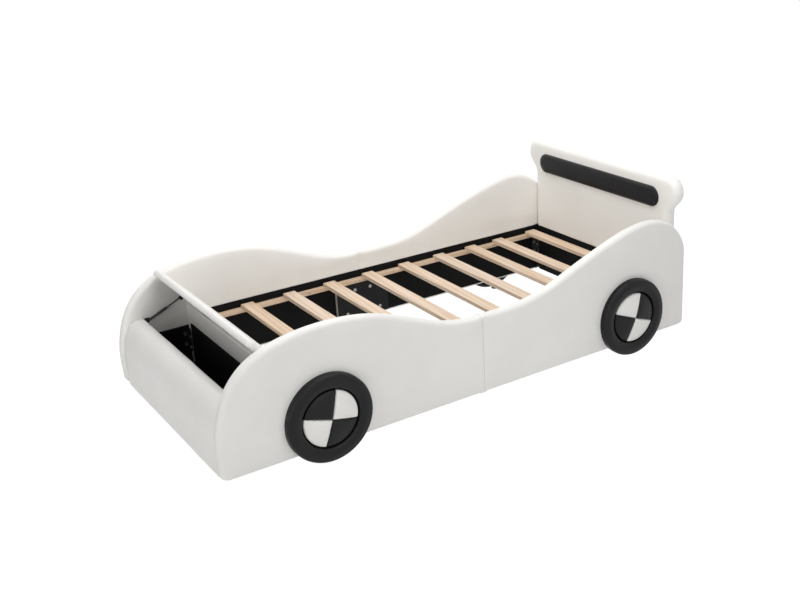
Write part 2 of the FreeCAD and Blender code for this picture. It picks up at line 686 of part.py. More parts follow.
def wheel(y, turn):
    """Tyre, board and the four hub quarters of one near wheel."""
    z = WHEEL_Z

    def point(p):
        return vec(OUTER + p[0], y, z + p[1])

    edges = []
    for a, middle, b in ring_section():
        if middle is None:
            edges.append(Part.makeLine(point(a), point(b)))
        else:
            edges.append(Part.Arc(point(a), point(middle), point(b)).toShape())
    section = Part.Face(Part.Wire(edges))
    tyre = section.revolve(vec(OUTER, y, z), vec(1, 0, 0), 360)
    board = rod_x(WHEEL_BOARD_RADIUS, OUTER, OUTER + WHEEL_BOARD_THICK, y, z)
    tyre = tyre.cut(board)

    radius = TYRE_INNER - HUB_PLAY
    base = OUTER + WHEEL_BOARD_THICK
    edge = base + HUB_EDGE
    dome_radius = (radius ** 2 + HUB_CROWN ** 2) / (2 * HUB_CROWN)
    fall = dome_radius - math.sqrt(dome_radius ** 2 - radius ** 2 / 4)
    profile = [Part.makeLine(vec(base, y, z), vec(base, y, z + radius)),
               Part.makeLine(vec(base, y, z + radius), vec(edge, y, z + radius)),
               Part.Arc(vec(edge, y, z + radius), vec(edge + HUB_CROWN - fall, y, z + radius / 2),
                        vec(edge + HUB_CROWN, y, z)).toShape(),
               Part.makeLine(vec(edge + HUB_CROWN, y, z), vec(base, y, z))]
    dome = Part.Face(Part.Wire(profile)).revolve(vec(base, y, z), vec(1, 0, 0), 360)
    gap = QUARTER_GAP / 2
    reach = radius + CUT_MARGIN
    quarters = []
    for sy, sz in ((1, 1), (-1, 1), (-1, -1), (1, -1)):
        y0, y1 = sorted((y + sy * gap, y + sy * reach))
        z0, z1 = sorted((z + sz * gap, z + sz * reach))
        quarter = dome.common(block(base - CUT_MARGIN, base + reach, y0, y1, z0, z1))
        quarter.rotate(vec(base, y, z), vec(1, 0, 0), turn)
        quarters.append(quarter)
    return tyre, board, quarters


def wheels():
    tyres = {}
    boards, white, black = [], [], []
    for name, y in (("front", FRONT_WHEEL), ("rear", HEAD_BACK - REAR_WHEEL)):
        tyre, board, quarters = wheel(y, WHEEL_TURN[name])
        lead = 0 if name == "front" else 1
        add(f"near_{name}_tyre", [tyre])
        add(f"far_{name}_tyre", [mirrored(tyre)])
        boards.extend(both_sides(board))
        for i, quarter in enumerate(quarters):
            (white if i % 2 == lead else black).extend(both_sides(quarter))
    add("wheel_boards", boards)
    add("hub_white_quarters", white)
    add("hub_black_quarters", black)


# ---- headboard -----------------------------------------------------------------------------------
def head_outline(grow):
    """The headboard's outline in the plane y = 0, moved outwards by grow.

    A straight side runs up to the neck, a hollow arc leans it outwards by the flare, and the
    end of the spoiler is a round of SPOILER_RADIUS.
    """
    def p(x, z):
        return vec(x, 0, z)

    flare = math.radians(NECK_FLARE_DEG)
    sine, cosine = math.sin(flare), math.cos(flare)
    base = HEAD_HALF + grow
    r = SPOILER_RADIUS + grow
    c = SPOILER_HALF - SPOILER_RADIUS
    join = (c + r * cosine, SPOILER_MIDDLE - r * sine)
    hollow = ((join[1] - NECK_TOP) * sine - (join[0] - base) * cosine) / (1 - cosine)

    def on_hollow(turn):
        return p(base + hollow * (1 - math.cos(turn)), NECK_TOP + hollow * math.sin(turn))

    right = [Part.makeLine(p(base, -grow), on_hollow(0)),
             Part.Arc(on_hollow(0), on_hollow(flare / 2), on_hollow(flare)).toShape(),
             Part.makeLine(on_hollow(flare), p(*join)),
             Part.Arc(p(*join), p(c + r, SPOILER_MIDDLE), p(c, SPOILER_MIDDLE + r)).toShape()]
    left = [mirrored(edge) for edge in right]
    top = Part.makeLine(p(c, SPOILER_MIDDLE + r), p(-c, SPOILER_MIDDLE + r))
    return right + [top] + left + [Part.makeLine(p(-base, -grow), p(base, -grow))]


def head_plate(grow, y0, y1):
    face = Part.Face(Part.Wire(Part.__sortEdges__(head_outline(grow))))
    face.translate(vec(0, y0, 0))
    return face.extrude(vec(0, y1 - y0, 0))


def pill(half, radius, y0, y1):
    c = half - radius
    p = [vec(c, y0, PILL_MIDDLE - radius), vec(c, y0, PILL_MIDDLE + radius),
         vec(-c, y0, PILL_MIDDLE + radius), vec(-c, y0, PILL_MIDDLE - radius)]
    wire = Part.Wire([Part.Arc(p[0], vec(half, y0, PILL_MIDDLE), p[1]).toShape(),
                      Part.makeLine(p[1], p[2]),
                      Part.Arc(p[2], vec(-half, y0, PILL_MIDDLE), p[3]).toShape(),
                      Part.makeLine(p[3], p[0])])
    return Part.Face(wire).extrude(vec(0, y1 - y0, 0))


def headboard():
    body = head_plate(0, HEAD_FRONT, HEAD_BACK)

    def padded(edge):
        return edge.BoundBox.ZMax > SAME_PLANE

    body = body.makeFillet(HEAD_EDGE_ROUND, rim(body, "y", (HEAD_FRONT, HEAD_BACK), padded))
    middle = (HEAD_FRONT + HEAD_BACK) / 2
    half = HEAD_CORE_THICK / 2
    core = head_plate(-HEAD_CORE_INSET, middle - half, middle + half)
    add("headboard_cover", [body.cut(core)])
    add("headboard_board", [core])
    add("headboard_lining", [block(-END_LINING_HALF, END_LINING_HALF, HEAD_FRONT - LINING_THICK,
                                   HEAD_FRONT, LINING_INSET, HEAD_LINING_TOP)])
    face = HEAD_FRONT - PILL_THICK - PILL_CROWN
    pad = pill(PILL_HALF, PILL_RADIUS, face, HEAD_FRONT)
    add("headboard_pad", [pad.makeFillet(PILL_THICK, rim(pad, "y", (face,)))])


def feet():
    cones = []
    x = (INNER + OUTER) / 2
    for y in (FRONT_WHEEL, HEAD_BACK - REAR_WHEEL):
        cone = Part.makeCone(FOOT_BASE_RADIUS, FOOT_TOP_RADIUS, FOOT_HEIGHT, vec(x, y, -FOOT_HEIGHT))
        cones.extend(both_sides(cone))
    add("feet", cones)


def build():
    side_panels()
    nose_panel()
    partition()
    lid()
    hinges()
    struts()
    slats()
    ledgers()
    wheels()
    headboard()
    feet()
    fixings()


def export():
    os.makedirs("parts", exist_ok=True)
    for name, solids in nodes.items():
        placed = [place(solid) for solid in solids]
        shape = Part.makeCompound(placed) if len(placed) > 1 else placed[0]
        if not shape.isValid():
            print("invalid shape:", name)
        shape.exportStep(f"parts/{name}.step")
    print(len(nodes), "nodes")


build()
export()
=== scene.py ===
"""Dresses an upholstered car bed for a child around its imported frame.

Lengths are metres in the frame's own axes: X across the bed, Y from the nose to the headboard, Z up.
Every padded piece is a plate or a section read from the frame's own solids, so it stays where they are.
"""

import json
import logging
import math
from dataclasses import dataclass, field
from enum import Enum

import bmesh
import bpy
import numpy as np
from mathutils import Matrix, Vector


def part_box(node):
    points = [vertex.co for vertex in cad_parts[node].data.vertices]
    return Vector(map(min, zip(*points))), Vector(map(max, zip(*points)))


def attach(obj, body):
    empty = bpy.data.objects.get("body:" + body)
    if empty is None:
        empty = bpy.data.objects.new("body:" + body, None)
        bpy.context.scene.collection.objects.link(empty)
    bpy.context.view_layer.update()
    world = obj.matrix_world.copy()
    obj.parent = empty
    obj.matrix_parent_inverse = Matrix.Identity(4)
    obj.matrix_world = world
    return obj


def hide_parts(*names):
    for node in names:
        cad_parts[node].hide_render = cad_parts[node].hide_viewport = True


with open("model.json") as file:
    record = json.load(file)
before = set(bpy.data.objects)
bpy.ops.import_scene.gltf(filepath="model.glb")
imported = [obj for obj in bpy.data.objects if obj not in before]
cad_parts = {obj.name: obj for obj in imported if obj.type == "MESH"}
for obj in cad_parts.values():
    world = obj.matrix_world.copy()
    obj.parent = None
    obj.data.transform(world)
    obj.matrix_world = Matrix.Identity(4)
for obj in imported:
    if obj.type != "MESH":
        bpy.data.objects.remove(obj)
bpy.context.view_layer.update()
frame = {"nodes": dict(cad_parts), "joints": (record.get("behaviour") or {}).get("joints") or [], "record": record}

Array = np.ndarray
Socket = bpy.types.NodeSocket
MM = 0.001
MERGE = 2e-6  # points nearer than this are one point
TINY = 1e-9  # keeps a length of nothing from dividing
RIPPLE_WAVES = 14
RIPPLE_PEAK = 3.0  # what the waves of a ripple add up to at most places
END_CROWD = np.array([0.0, 0.03, 0.12, 0.3, 0.6, 1.0])  # stations in an end's round, as shares of it
CLOTH_PRESSURE = 4.0
CLOTH_FRAMES = 20
WHITE = (1.0, 1.0, 1.0, 1.0)

log = logging.getLogger("car_bed")


class Axis(Enum):
    """The frame's axes, as the index of a coordinate."""

    X = 0
    Y = 1
    Z = 2


def srgb(red: float, green: float, blue: float) -> tuple[float, float, float, float]:
    """Turns a colour on a screen into the renderer's linear colour, by the sRGB curve.

    Args:
        red, green, blue: Its parts, each 0 to 255.

    Returns:
        The linear colour with an alpha of 1.
    """
    values = [v / 255 for v in (red, green, blue)]
    linear = [v / 12.92 if v <= 0.04045 else ((v + 0.055) / 1.055) ** 2.4 for v in values]
    return (*linear, 1.0)


def shaded(colour: tuple, share: float) -> tuple:
    """A linear colour made that many times as bright."""
    return tuple(c * share for c in colour[:3]) + (1.0,)


# ---- curves, sections and rings ------------------------------------------------------------------
def resampled(points: Array, count: int, closed: bool = False) -> Array:
    """Spreads points evenly by length along a line of points.

    Args:
        points: The line, one point a row.
        count: How many points to return.
        closed: Whether the last point joins the first.

    Returns:
        The evenly spread points; a closed line's first point isn't repeated at its end.
    """
    line = np.vstack([points, points[:1]]) if closed else points
    steps = np.linalg.norm(np.diff(line, axis=0), axis=1)
    along = np.concatenate([[0.0], np.cumsum(steps)])
    wanted = np.linspace(0.0, along[-1], count + 1 if closed else count)
    spread = np.stack([np.interp(wanted, along, line[:, k]) for k in range(line.shape[1])], axis=1)
    return spread[:-1] if closed else spread


def section_of(node: str, axis: Axis, place: float) -> Array:
    """Cuts a node's solid with a plane and keeps the longest loop of the cut.

    Args:
        node: The node's name.
        axis: The axis that the plane is square to.
        place: Where the plane lies on that axis.

    Returns:
        The loop's points in the plane's two axes, in order, with the first not repeated.
    """
    mesh = bmesh.new()
    mesh.from_mesh(frame["nodes"][node].data)
    bmesh.ops.remove_doubles(mesh, verts=mesh.verts, dist=MERGE)
    normal = Vector((0.0, 0.0, 0.0))
    normal[axis.value] = 1.0
    everything = mesh.verts[:] + mesh.edges[:] + mesh.faces[:]
    cut = bmesh.ops.bisect_plane(mesh, geom=everything, plane_co=normal * place, plane_no=normal)
    joined: dict[bmesh.types.BMVert, list[bmesh.types.BMVert]] = {}
    for edge in (e for e in cut["geom_cut"] if isinstance(e, bmesh.types.BMEdge)):
        first, second = edge.verts
        joined.setdefault(first, []).append(second)
        joined.setdefault(second, []).append(first)
    kept = [k for k in range(3) if k != axis.value]
    loops = []
    while joined:
        vertex = next(iter(joined))
        loop = []
        while vertex is not None:
            loop.append([vertex.co[k] for k in kept])
            vertex = next((v for v in joined.pop(vertex) if v in joined), None)
        loops.append(np.array(loop))
    mesh.free()
    return max(loops, key=lambda p: np.linalg.norm(np.roll(p, 1, axis=0) - p, axis=1).sum())


@dataclass
class Ring:
    """A closed outline in a plane, and the rings that a plate's faces are drawn in to.

    The points of the middle stretch above the spine match those below it, so that the last ring
    closes on itself.

    Attributes:
        edge: Points round the outline.
        stages: Rings of as many points, each further in than the one before.
    """

    edge: Array
    stages: list[Array]

    @classmethod
    def from_loop(cls, loop: Array, start: float, end: float, margin: float | None = None,
                  level: float | None = None, middle: int = 150, ends: int = 60) -> "Ring":
        """Reads a ring from a loop.

        The outline is met above and below at even stations from start to end, and its two end
        stretches are spread evenly by length. The spine runs from start to end, halfway between
        the outline above and below, or at a level.

        Args:
            loop: The outline's points in order.
            start: Where the spine starts along the first axis.
            end: Where the spine ends.
            margin: If given, the faces first draw in to the box that stays this far from the
                outline's own box above and below.
            level: If given, the spine's height.
            middle: Stations along the spine.
            ends: Points on each end stretch.

        Returns:
            The ring.
        """
        stations = np.linspace(start, end, middle)
        following = np.roll(loop, -1, axis=0)
        run = following[:, 0] - loop[:, 0]
        share = (stations[:, None] - loop[:, 0]) / np.where(run == 0, 1.0, run)
        met = (share >= 0) & (share <= 1) & (run != 0)
        height = loop[:, 1] + share * (following[:, 1] - loop[:, 1])
        upper = np.stack([stations, np.where(met, height, -np.inf).max(axis=1)], axis=1)
        lower = np.stack([stations, np.where(met, height, np.inf).min(axis=1)], axis=1)
        left = cls._end_stretch(loop, loop[:, 0] < start, lower[0], upper[0], ends)
        right = cls._end_stretch(loop, loop[:, 0] > end, upper[-1], lower[-1], ends)
        edge = np.concatenate([left, upper[1:-1], right, lower[-2:0:-1]])
        spine_height = (upper[:, 1] + lower[:, 1]) / 2 if level is None else np.full(middle, level)
        along = np.clip(edge[:, 0], start, end)
        spine = np.stack([along, np.interp(along, stations, spine_height)], axis=1)
        if margin is None:
            return cls(edge, [spine])
        low, high = edge[:, 1].min() + margin, edge[:, 1].max() - margin
        return cls(edge, [np.stack([along, np.clip(edge[:, 1], low, high)], axis=1), spine])

    @staticmethod
    def _end_stretch(loop: Array, beyond: Array, first: Array, last: Array, count: int) -> Array:
        """The stretch of the loop beyond a station, from first to last, spread evenly."""
        entry = int(np.flatnonzero(beyond & ~np.roll(beyond, 1))[0])
        stretch = np.roll(loop, -entry, axis=0)[: int(beyond.sum())]
        if np.linalg.norm(stretch[0] - first) > np.linalg.norm(stretch[-1] - first):
            stretch = stretch[::-1]
        return resampled(np.vstack([first, stretch, last]), count)


def edge_fall(points: Array, edge: Array, rounds: Array) -> tuple[Array, Array]:
    """How far a padded face lies below its full height near the outline.

    At a distance d inside an edge rounded to radius r the face has fallen by
    r - sqrt(r * r - (r - d) * (r - d)), and by nothing past r. Each point takes the most that
    any stretch of the outline gives it.

    Args:
        points: Points in the plane, one a row.
        edge: The outline's points.
        rounds: The radius at each of them.

    Returns:
        The distance to the outline and the fall, for each point.
    """
    span = np.roll(edge, -1, axis=0) - edge
    length2 = np.maximum((span ** 2).sum(axis=1), 1e-18)
    distance, fall = [], []
    for part in np.array_split(points, max(1, len(points) // 3000)):
        offset = part[:, None, :] - edge[None]
        share = np.clip((offset * span).sum(axis=2) / length2, 0.0, 1.0)
        gap = np.linalg.norm(offset - share[..., None] * span, axis=2)
        short = np.clip(rounds - gap, 0.0, rounds)
        distance.append(gap.min(axis=1))
        fall.append((rounds - np.sqrt(np.maximum(rounds ** 2 - short ** 2, 0.0))).max(axis=1))
    return np.concatenate(distance), np.concatenate(fall)


def ripple(first: Array, second: Array, seed: int, shortest: float = 0.07, longest: float = 0.45) -> Array:
    """Soft unevenness: a sum of plane waves of fixed lengths, with seeded directions and phases.

    Args:
        first: One coordinate of each point.
        second: The other coordinate.
        seed: Picks the waves.
        shortest: The shortest wave's length.
        longest: The longest wave's length.

    Returns:
        A height for each point, mostly within -1 and 1.
    """
    draw = np.random.default_rng(seed)
    total = np.zeros_like(first)
    for length in np.geomspace(shortest, longest, RIPPLE_WAVES):
        angle, phase = draw.uniform(0, 2 * math.pi, 2)
        total += math.sqrt(length / longest) * np.sin(
            2 * math.pi / length * (first * math.cos(angle) + second * math.sin(angle)) + phase)
    return total / RIPPLE_PEAK


def smooth_step(value: Array, low: float, high: float) -> Array:
    """Rises from 0 at low to 1 at high with level ends, as 3t^2 - 2t^3."""
    share = np.clip((value - low) / (high - low), 0.0, 1.0)
    return share * share * (3.0 - 2.0 * share)


# ---- meshes --------------------------------------------------------------------------------------
def grid_faces(rows: int, columns: int, close_rows: bool = False) -> Array:
    """Four-cornered faces of a grid whose columns close on themselves.

    Args:
        rows: Rows of points.
        columns: Points in a row.
        close_rows: Whether the last row joins the first.

    Returns:
        Four point numbers for each face.
    """
    row = np.arange(rows if close_rows else rows - 1)[:, None]
    column = np.arange(columns)[None]
    beside = (column + 1) % columns
    above = (row + 1) % rows
    corners = [row * columns + column, row * columns + beside,
               above * columns + beside, above * columns + column]
    return np.stack([np.broadcast_to(c, (len(row), columns)) for c in corners], axis=-1).reshape(-1, 4)


def linked(name: str, data: bpy.types.ID) -> bpy.types.Object:
    """Makes an object of its data and puts it into the scene."""
    thing = bpy.data.objects.new(name, data)
    bpy.context.scene.collection.objects.link(thing)
    return thing


def dress(thing: bpy.types.Object, material: bpy.types.Material) -> None:
    """Gives an object one material in place of those it has."""
    thing.data.materials.clear()
    thing.data.materials.append(material)


def piece_from(name: str, parts: list[tuple[Array, list]]) -> bpy.types.Object:
    """Makes one object of closed surfaces, with doubles merged and faces turned outwards.

    Args:
        name: The object's name.
        parts: For each surface its points, one a row, and its faces.

    Returns:
        The object, at the origin.
    """
    mesh = bmesh.new()
    for points, faces in parts:
        part = bpy.data.meshes.new(name)
        part.from_pydata(points.tolist(), [], faces)
        mesh.from_mesh(part)
        bpy.data.meshes.remove(part)
    bmesh.ops.remove_doubles(mesh, verts=mesh.verts, dist=MERGE)
    bmesh.ops.dissolve_degenerate(mesh, edges=mesh.edges, dist=MERGE)
    bmesh.ops.recalc_face_normals(mesh, faces=mesh.faces)
    for face in mesh.faces:
        face.smooth = True
    made = bpy.data.meshes.new(name)
    mesh.to_mesh(made)
    mesh.free()
    return linked(name, made)


def simulated_pad(name: str, points: Array, faces: list, held_below: float, voxel: float,
                  cap: float) -> tuple[Array, list]:
    """Blows a pad up as cloth, with its back held.

    The surface is remeshed, simulated with air pressure inside and no gravity, and each point
    moves by at most the cap.

    Args:
        name: A name for the cloth.
        points: The surface's points; the third coordinate is the height above the back.
        faces: Its faces.
        held_below: Points lower than this don't move.
        voxel: The remesh's size.
        cap: The furthest that a point may move.

    Returns:
        The pad's points and faces.
    """
    scene = bpy.context.scene
    thing = piece_from(name, [(points, faces)])
    skin = thing.modifiers.new("skin", "REMESH")
    skin.mode = "VOXEL"
    skin.voxel_size = voxel
    graph = bpy.context.evaluated_depsgraph_get()
    meshed = bpy.data.meshes.new_from_object(thing.evaluated_get(graph))
    thing.modifiers.clear()
    thing.data = meshed
    before = vertex_places(meshed)
    group = thing.vertex_groups.new(name="held")
    group.add(np.flatnonzero(before[:, 2] < held_below).tolist(), 1.0, "REPLACE")
    cloth = thing.modifiers.new("cloth", "CLOTH")
    cloth.settings.vertex_group_mass = "held"
    cloth.settings.use_pressure = True
    cloth.settings.uniform_pressure_force = CLOTH_PRESSURE
    cloth.settings.effector_weights.gravity = 0.0
    cloth.point_cache.frame_end = CLOTH_FRAMES
    for frame_number in range(1, CLOTH_FRAMES + 1):
        scene.frame_set(frame_number)
    graph = bpy.context.evaluated_depsgraph_get()
    blown = bpy.data.meshes.new_from_object(thing.evaluated_get(graph))
    move = vertex_places(blown) - before
    length = np.linalg.norm(move, axis=1, keepdims=True)
    after = before + move * np.minimum(1.0, cap / np.maximum(length, TINY))
    polygons = [list(p.vertices) for p in meshed.polygons]
    bpy.data.objects.remove(thing)
    scene.frame_set(1)
    log.info("%s: simulated, furthest move %.1f mm", name, float(length.max()) / MM)
    return after, polygons


def vertex_places(mesh: bpy.types.Mesh) -> Array:
    """The mesh's points, one a row."""
    flat = np.empty(len(mesh.vertices) * 3)
    mesh.vertices.foreach_get("co", flat)
    return flat.reshape(-1, 3)


def finer(thing: bpy.types.Object) -> None:
    """Adds one level of subdivision to a simulated piece."""
    smooth = thing.modifiers.new("finer", "SUBSURF")
    smooth.levels = smooth.render_levels = 1


@dataclass
class PaddedPlate:
    """A plate covered with foam and artificial leather, with rounded edges.

    Points are given as (u, v, w): u and v in the ring's plane and w through the thickness.

    Attributes:
        ring: The outline and the rings that the faces are drawn in to.
        low: w of the lower face.
        high: w of the upper face.
        rounds: Radius of the padded edge at each point of the ring.
        puff: How far the lower and the upper face stand out in their middle.
        spread: Distance from the edge over which a face rises.
        uneven: Height of the soft unevenness.
        seed: Picks the unevenness.
        groove: Depth of the sewn seam that runs along each rounded edge.
        ROUND_STEPS: Levels of the rows on a rounded edge, as shares of its radius.
        SEAM_SHARE: Where the seam lies along the rounded edge, as a share of the radius.
        SEAM_WIDTH: The seam's width, as a share of the radius.
        LEAST_SLANT: A row goes in at most this much askew.
        FACE_STEPS: Rows between one stage of the ring and the next.
        BAND_STEPS: Rows between the two rounded edges.
    """

    ring: Ring
    low: float
    high: float
    rounds: Array
    puff: tuple[float, float]
    spread: float
    uneven: float
    seed: int
    groove: float = 0.0
    ROUND_STEPS = np.array([0, 2, 3, 4, 4.5, 5, 5.5, 6, 7, 9, 11, 13, 15, 16.5, 18, 19]) / 19
    SEAM_SHARE = 5 / 19
    SEAM_WIDTH = 0.055
    LEAST_SLANT = 0.35
    FACE_STEPS = 9
    BAND_STEPS = 5

    def _rows(self) -> Array:
        """Rings from the outline in to the spine: first by the rounded edge's own levels, then evenly.

        A ring that heads in askew goes further, so that its depth square to the outline is right.
        """
        radius = float(self.rounds.max())
        depths = radius * (1 - np.sqrt(1 - self.ROUND_STEPS ** 2))
        edge, first = self.ring.edge, self.ring.stages[0]
        inward = first - edge
        length = np.maximum(np.linalg.norm(inward, axis=1, keepdims=True), TINY)
        along = np.roll(edge, -1, axis=0) - np.roll(edge, 1, axis=0)
        along = along / np.maximum(np.linalg.norm(along, axis=1, keepdims=True), TINY)
        slant = np.abs(inward[:, 0] * along[:, 1] - inward[:, 1] * along[:, 0])[:, None] / length
        rim = [edge + inward * np.minimum(depth / length / np.maximum(slant, self.LEAST_SLANT), 0.9)
               for depth in depths]
        rows = rim
        start = rim[-1]
        for stage in self.ring.stages:
            shares = np.linspace(0, 1, self.FACE_STEPS + 1)[1:]
            rows = rows + [start + (stage - start) * share for share in shares]
            start = stage
        return np.stack(rows)

    def surface(self) -> tuple[Array, list]:
        """Works the plate out.

        Each face is at half the thickness, less the edge's fall, plus the puff times
        1 - exp(-(d / spread)^2), where d is the distance to the outline, plus the unevenness.
        The band between the two rounded edges follows the outline.

        Returns:
            Points as (u, v, w), one a row, and the faces.
        """
        rows = self._rows()
        count, around, _ = rows.shape
        distance, fall = edge_fall(rows.reshape(-1, 2), self.ring.edge, self.rounds)
        distance, fall = distance.reshape(count, around), fall.reshape(count, around)
        swell = 1 - np.exp(-(distance / self.spread) ** 2)
        half = (self.high - self.low) / 2
        middle = (self.high + self.low) / 2
        wave = ripple(rows[..., 0], rows[..., 1], self.seed) * self.uneven * swell
        upper = middle + half - fall + self.puff[1] * swell + wave
        wave = ripple(rows[..., 0], rows[..., 1], self.seed + 50) * self.uneven * swell
        lower = middle - half + fall - self.puff[0] * swell - wave
        shares = np.linspace(0, 1, self.BAND_STEPS + 2)[1:-1, None]
        band = upper[0] + (lower[0] - upper[0]) * shares
        flat = np.broadcast_to(rows[0], (self.BAND_STEPS, around, 2))
        across = np.concatenate([upper[::-1], band, lower])
        plane = np.concatenate([rows[::-1], flat, rows])
        if self.groove:
            depth = np.concatenate([distance[::-1], np.zeros_like(band), distance])
            radius = self.rounds[None]
            seam = half - radius + radius * self.SEAM_SHARE
            off = (np.abs(across - middle) - seam) / (radius * self.SEAM_WIDTH)
            dip = self.groove * np.exp(-off ** 2) * (depth < radius)
            inward = self.ring.stages[0] - self.ring.edge
            inward = inward / np.maximum(np.linalg.norm(inward, axis=1, keepdims=True), TINY)
            plane = plane + inward[None] * dip[..., None]
        points = np.concatenate([plane, across[..., None]], axis=-1)
        return points.reshape(-1, 3), grid_faces(len(points), around).tolist()


def carried(section: Array, stations: Array, end_round: float, uneven: float,
            seed: int) -> tuple[Array, list]:
    """Carries a closed section along X, drawn in at both ends by a round.

    At a distance d from an end the section is drawn in along its normals by
    r - sqrt(r * r - (r - d) * (r - d)). The skin is uneven by a seeded ripple.

    Args:
        section: The section's points as (y, z), in order.
        stations: X of each copy of the section.
        end_round: The round r at the two ends.
        uneven: Height of the unevenness.
        seed: Picks it.

    Returns:
        Points, one a row, and faces, with one flat face at each end.
    """
    tangent = np.roll(section, -1, axis=0) - np.roll(section, 1, axis=0)
    tangent /= np.maximum(np.linalg.norm(tangent, axis=1, keepdims=True), TINY)
    y, z = section.T
    area = 0.5 * np.sum(y * np.roll(z, -1) - np.roll(y, -1) * z)
    normal = np.stack([tangent[:, 1], -tangent[:, 0]], axis=1) * math.copysign(1.0, area)
    gap = np.minimum(stations - stations[0], stations[-1] - stations)
    short = np.clip(end_round - gap, 0.0, end_round)
    inset = end_round - np.sqrt(end_round ** 2 - short ** 2)
    length = np.concatenate([[0.0], np.cumsum(np.linalg.norm(np.diff(section, axis=0), axis=1))])
    grid = (len(stations), len(section))
    wave = ripple(np.broadcast_to(stations[:, None], grid), np.broadcast_to(length, grid), seed) * uneven
    flat = section[None] + normal[None] * (wave - inset[:, None])[..., None]
    along = np.broadcast_to(stations[:, None, None], grid + (1,))
    points = np.concatenate([along, flat], axis=-1)
    faces = grid_faces(*grid).tolist()
    last = (len(stations) - 1) * len(section)
    faces.append(list(range(len(section)))[::-1])
    faces.append([last + k for k in range(len(section))])
    return points.reshape(-1, 3), faces


def stations_with_ends(low: float, high: float, end_round: float, count: int) -> Array:
    """Stations from low to high that crowd at both ends, so that a round of end_round shows."""
    crowd = end_round * END_CROWD
    inner = np.linspace(low + end_round, high - end_round, count)[1:-1]
    return np.concatenate([low + crowd, inner, high - crowd[::-1]])


# ---- finishes ------------------------------------------------------------------------------------
class Nodes:
    """A tree of nodes, filled one node at a time."""

    def __init__(self, holder: bpy.types.Material | bpy.types.World) -> None:
        """Empties the tree of a material or a world."""
        holder.use_nodes = True
        self.tree = holder.node_tree
        self.tree.nodes.clear()

    def add(self, kind: str, inputs: dict | None = None, **settings: object) -> bpy.types.Node:
        """Adds a node.

        Args:
            kind: The node's type.
            inputs: Sockets by name or number, each linked to a socket or set to a value.
            settings: The node's own properties.

        Returns:
            The node.
        """
        node = self.tree.nodes.new(kind)
        for key, value in settings.items():
            setattr(node, key, value)
        for key, value in (inputs or {}).items():
            if isinstance(value, Socket):
                self.tree.links.new(value, node.inputs[key])
            else:
                node.inputs[key].default_value = value
        return node

    def reckon(self, operation: str, first: object, second: object = 0.0) -> Socket:
        """One sum of two values."""
        return self.add("ShaderNodeMath", {0: first, 1: second}, operation=operation).outputs[0]

    def shows_white(self) -> Socket:
        """A value that is 1 for rays from the camera, off gloss and through glass, and 0 for others."""
        path = self.add("ShaderNodeLightPath").outputs
        total = path["Is Camera Ray"]
        for name in ("Is Glossy Ray", "Is Transmission Ray"):
            total = self.reckon("MAXIMUM", total, path[name])
        return total

    def blend(self, output: str, share: Socket, first: bpy.types.Node, second: bpy.types.Node) -> None:
        """Mixes two shaders into the tree's output."""
        mixed = self.add("ShaderNodeMixShader", {0: share, 1: first.outputs[0], 2: second.outputs[0]})
        self.add(output, {"Surface": mixed.outputs[0]})


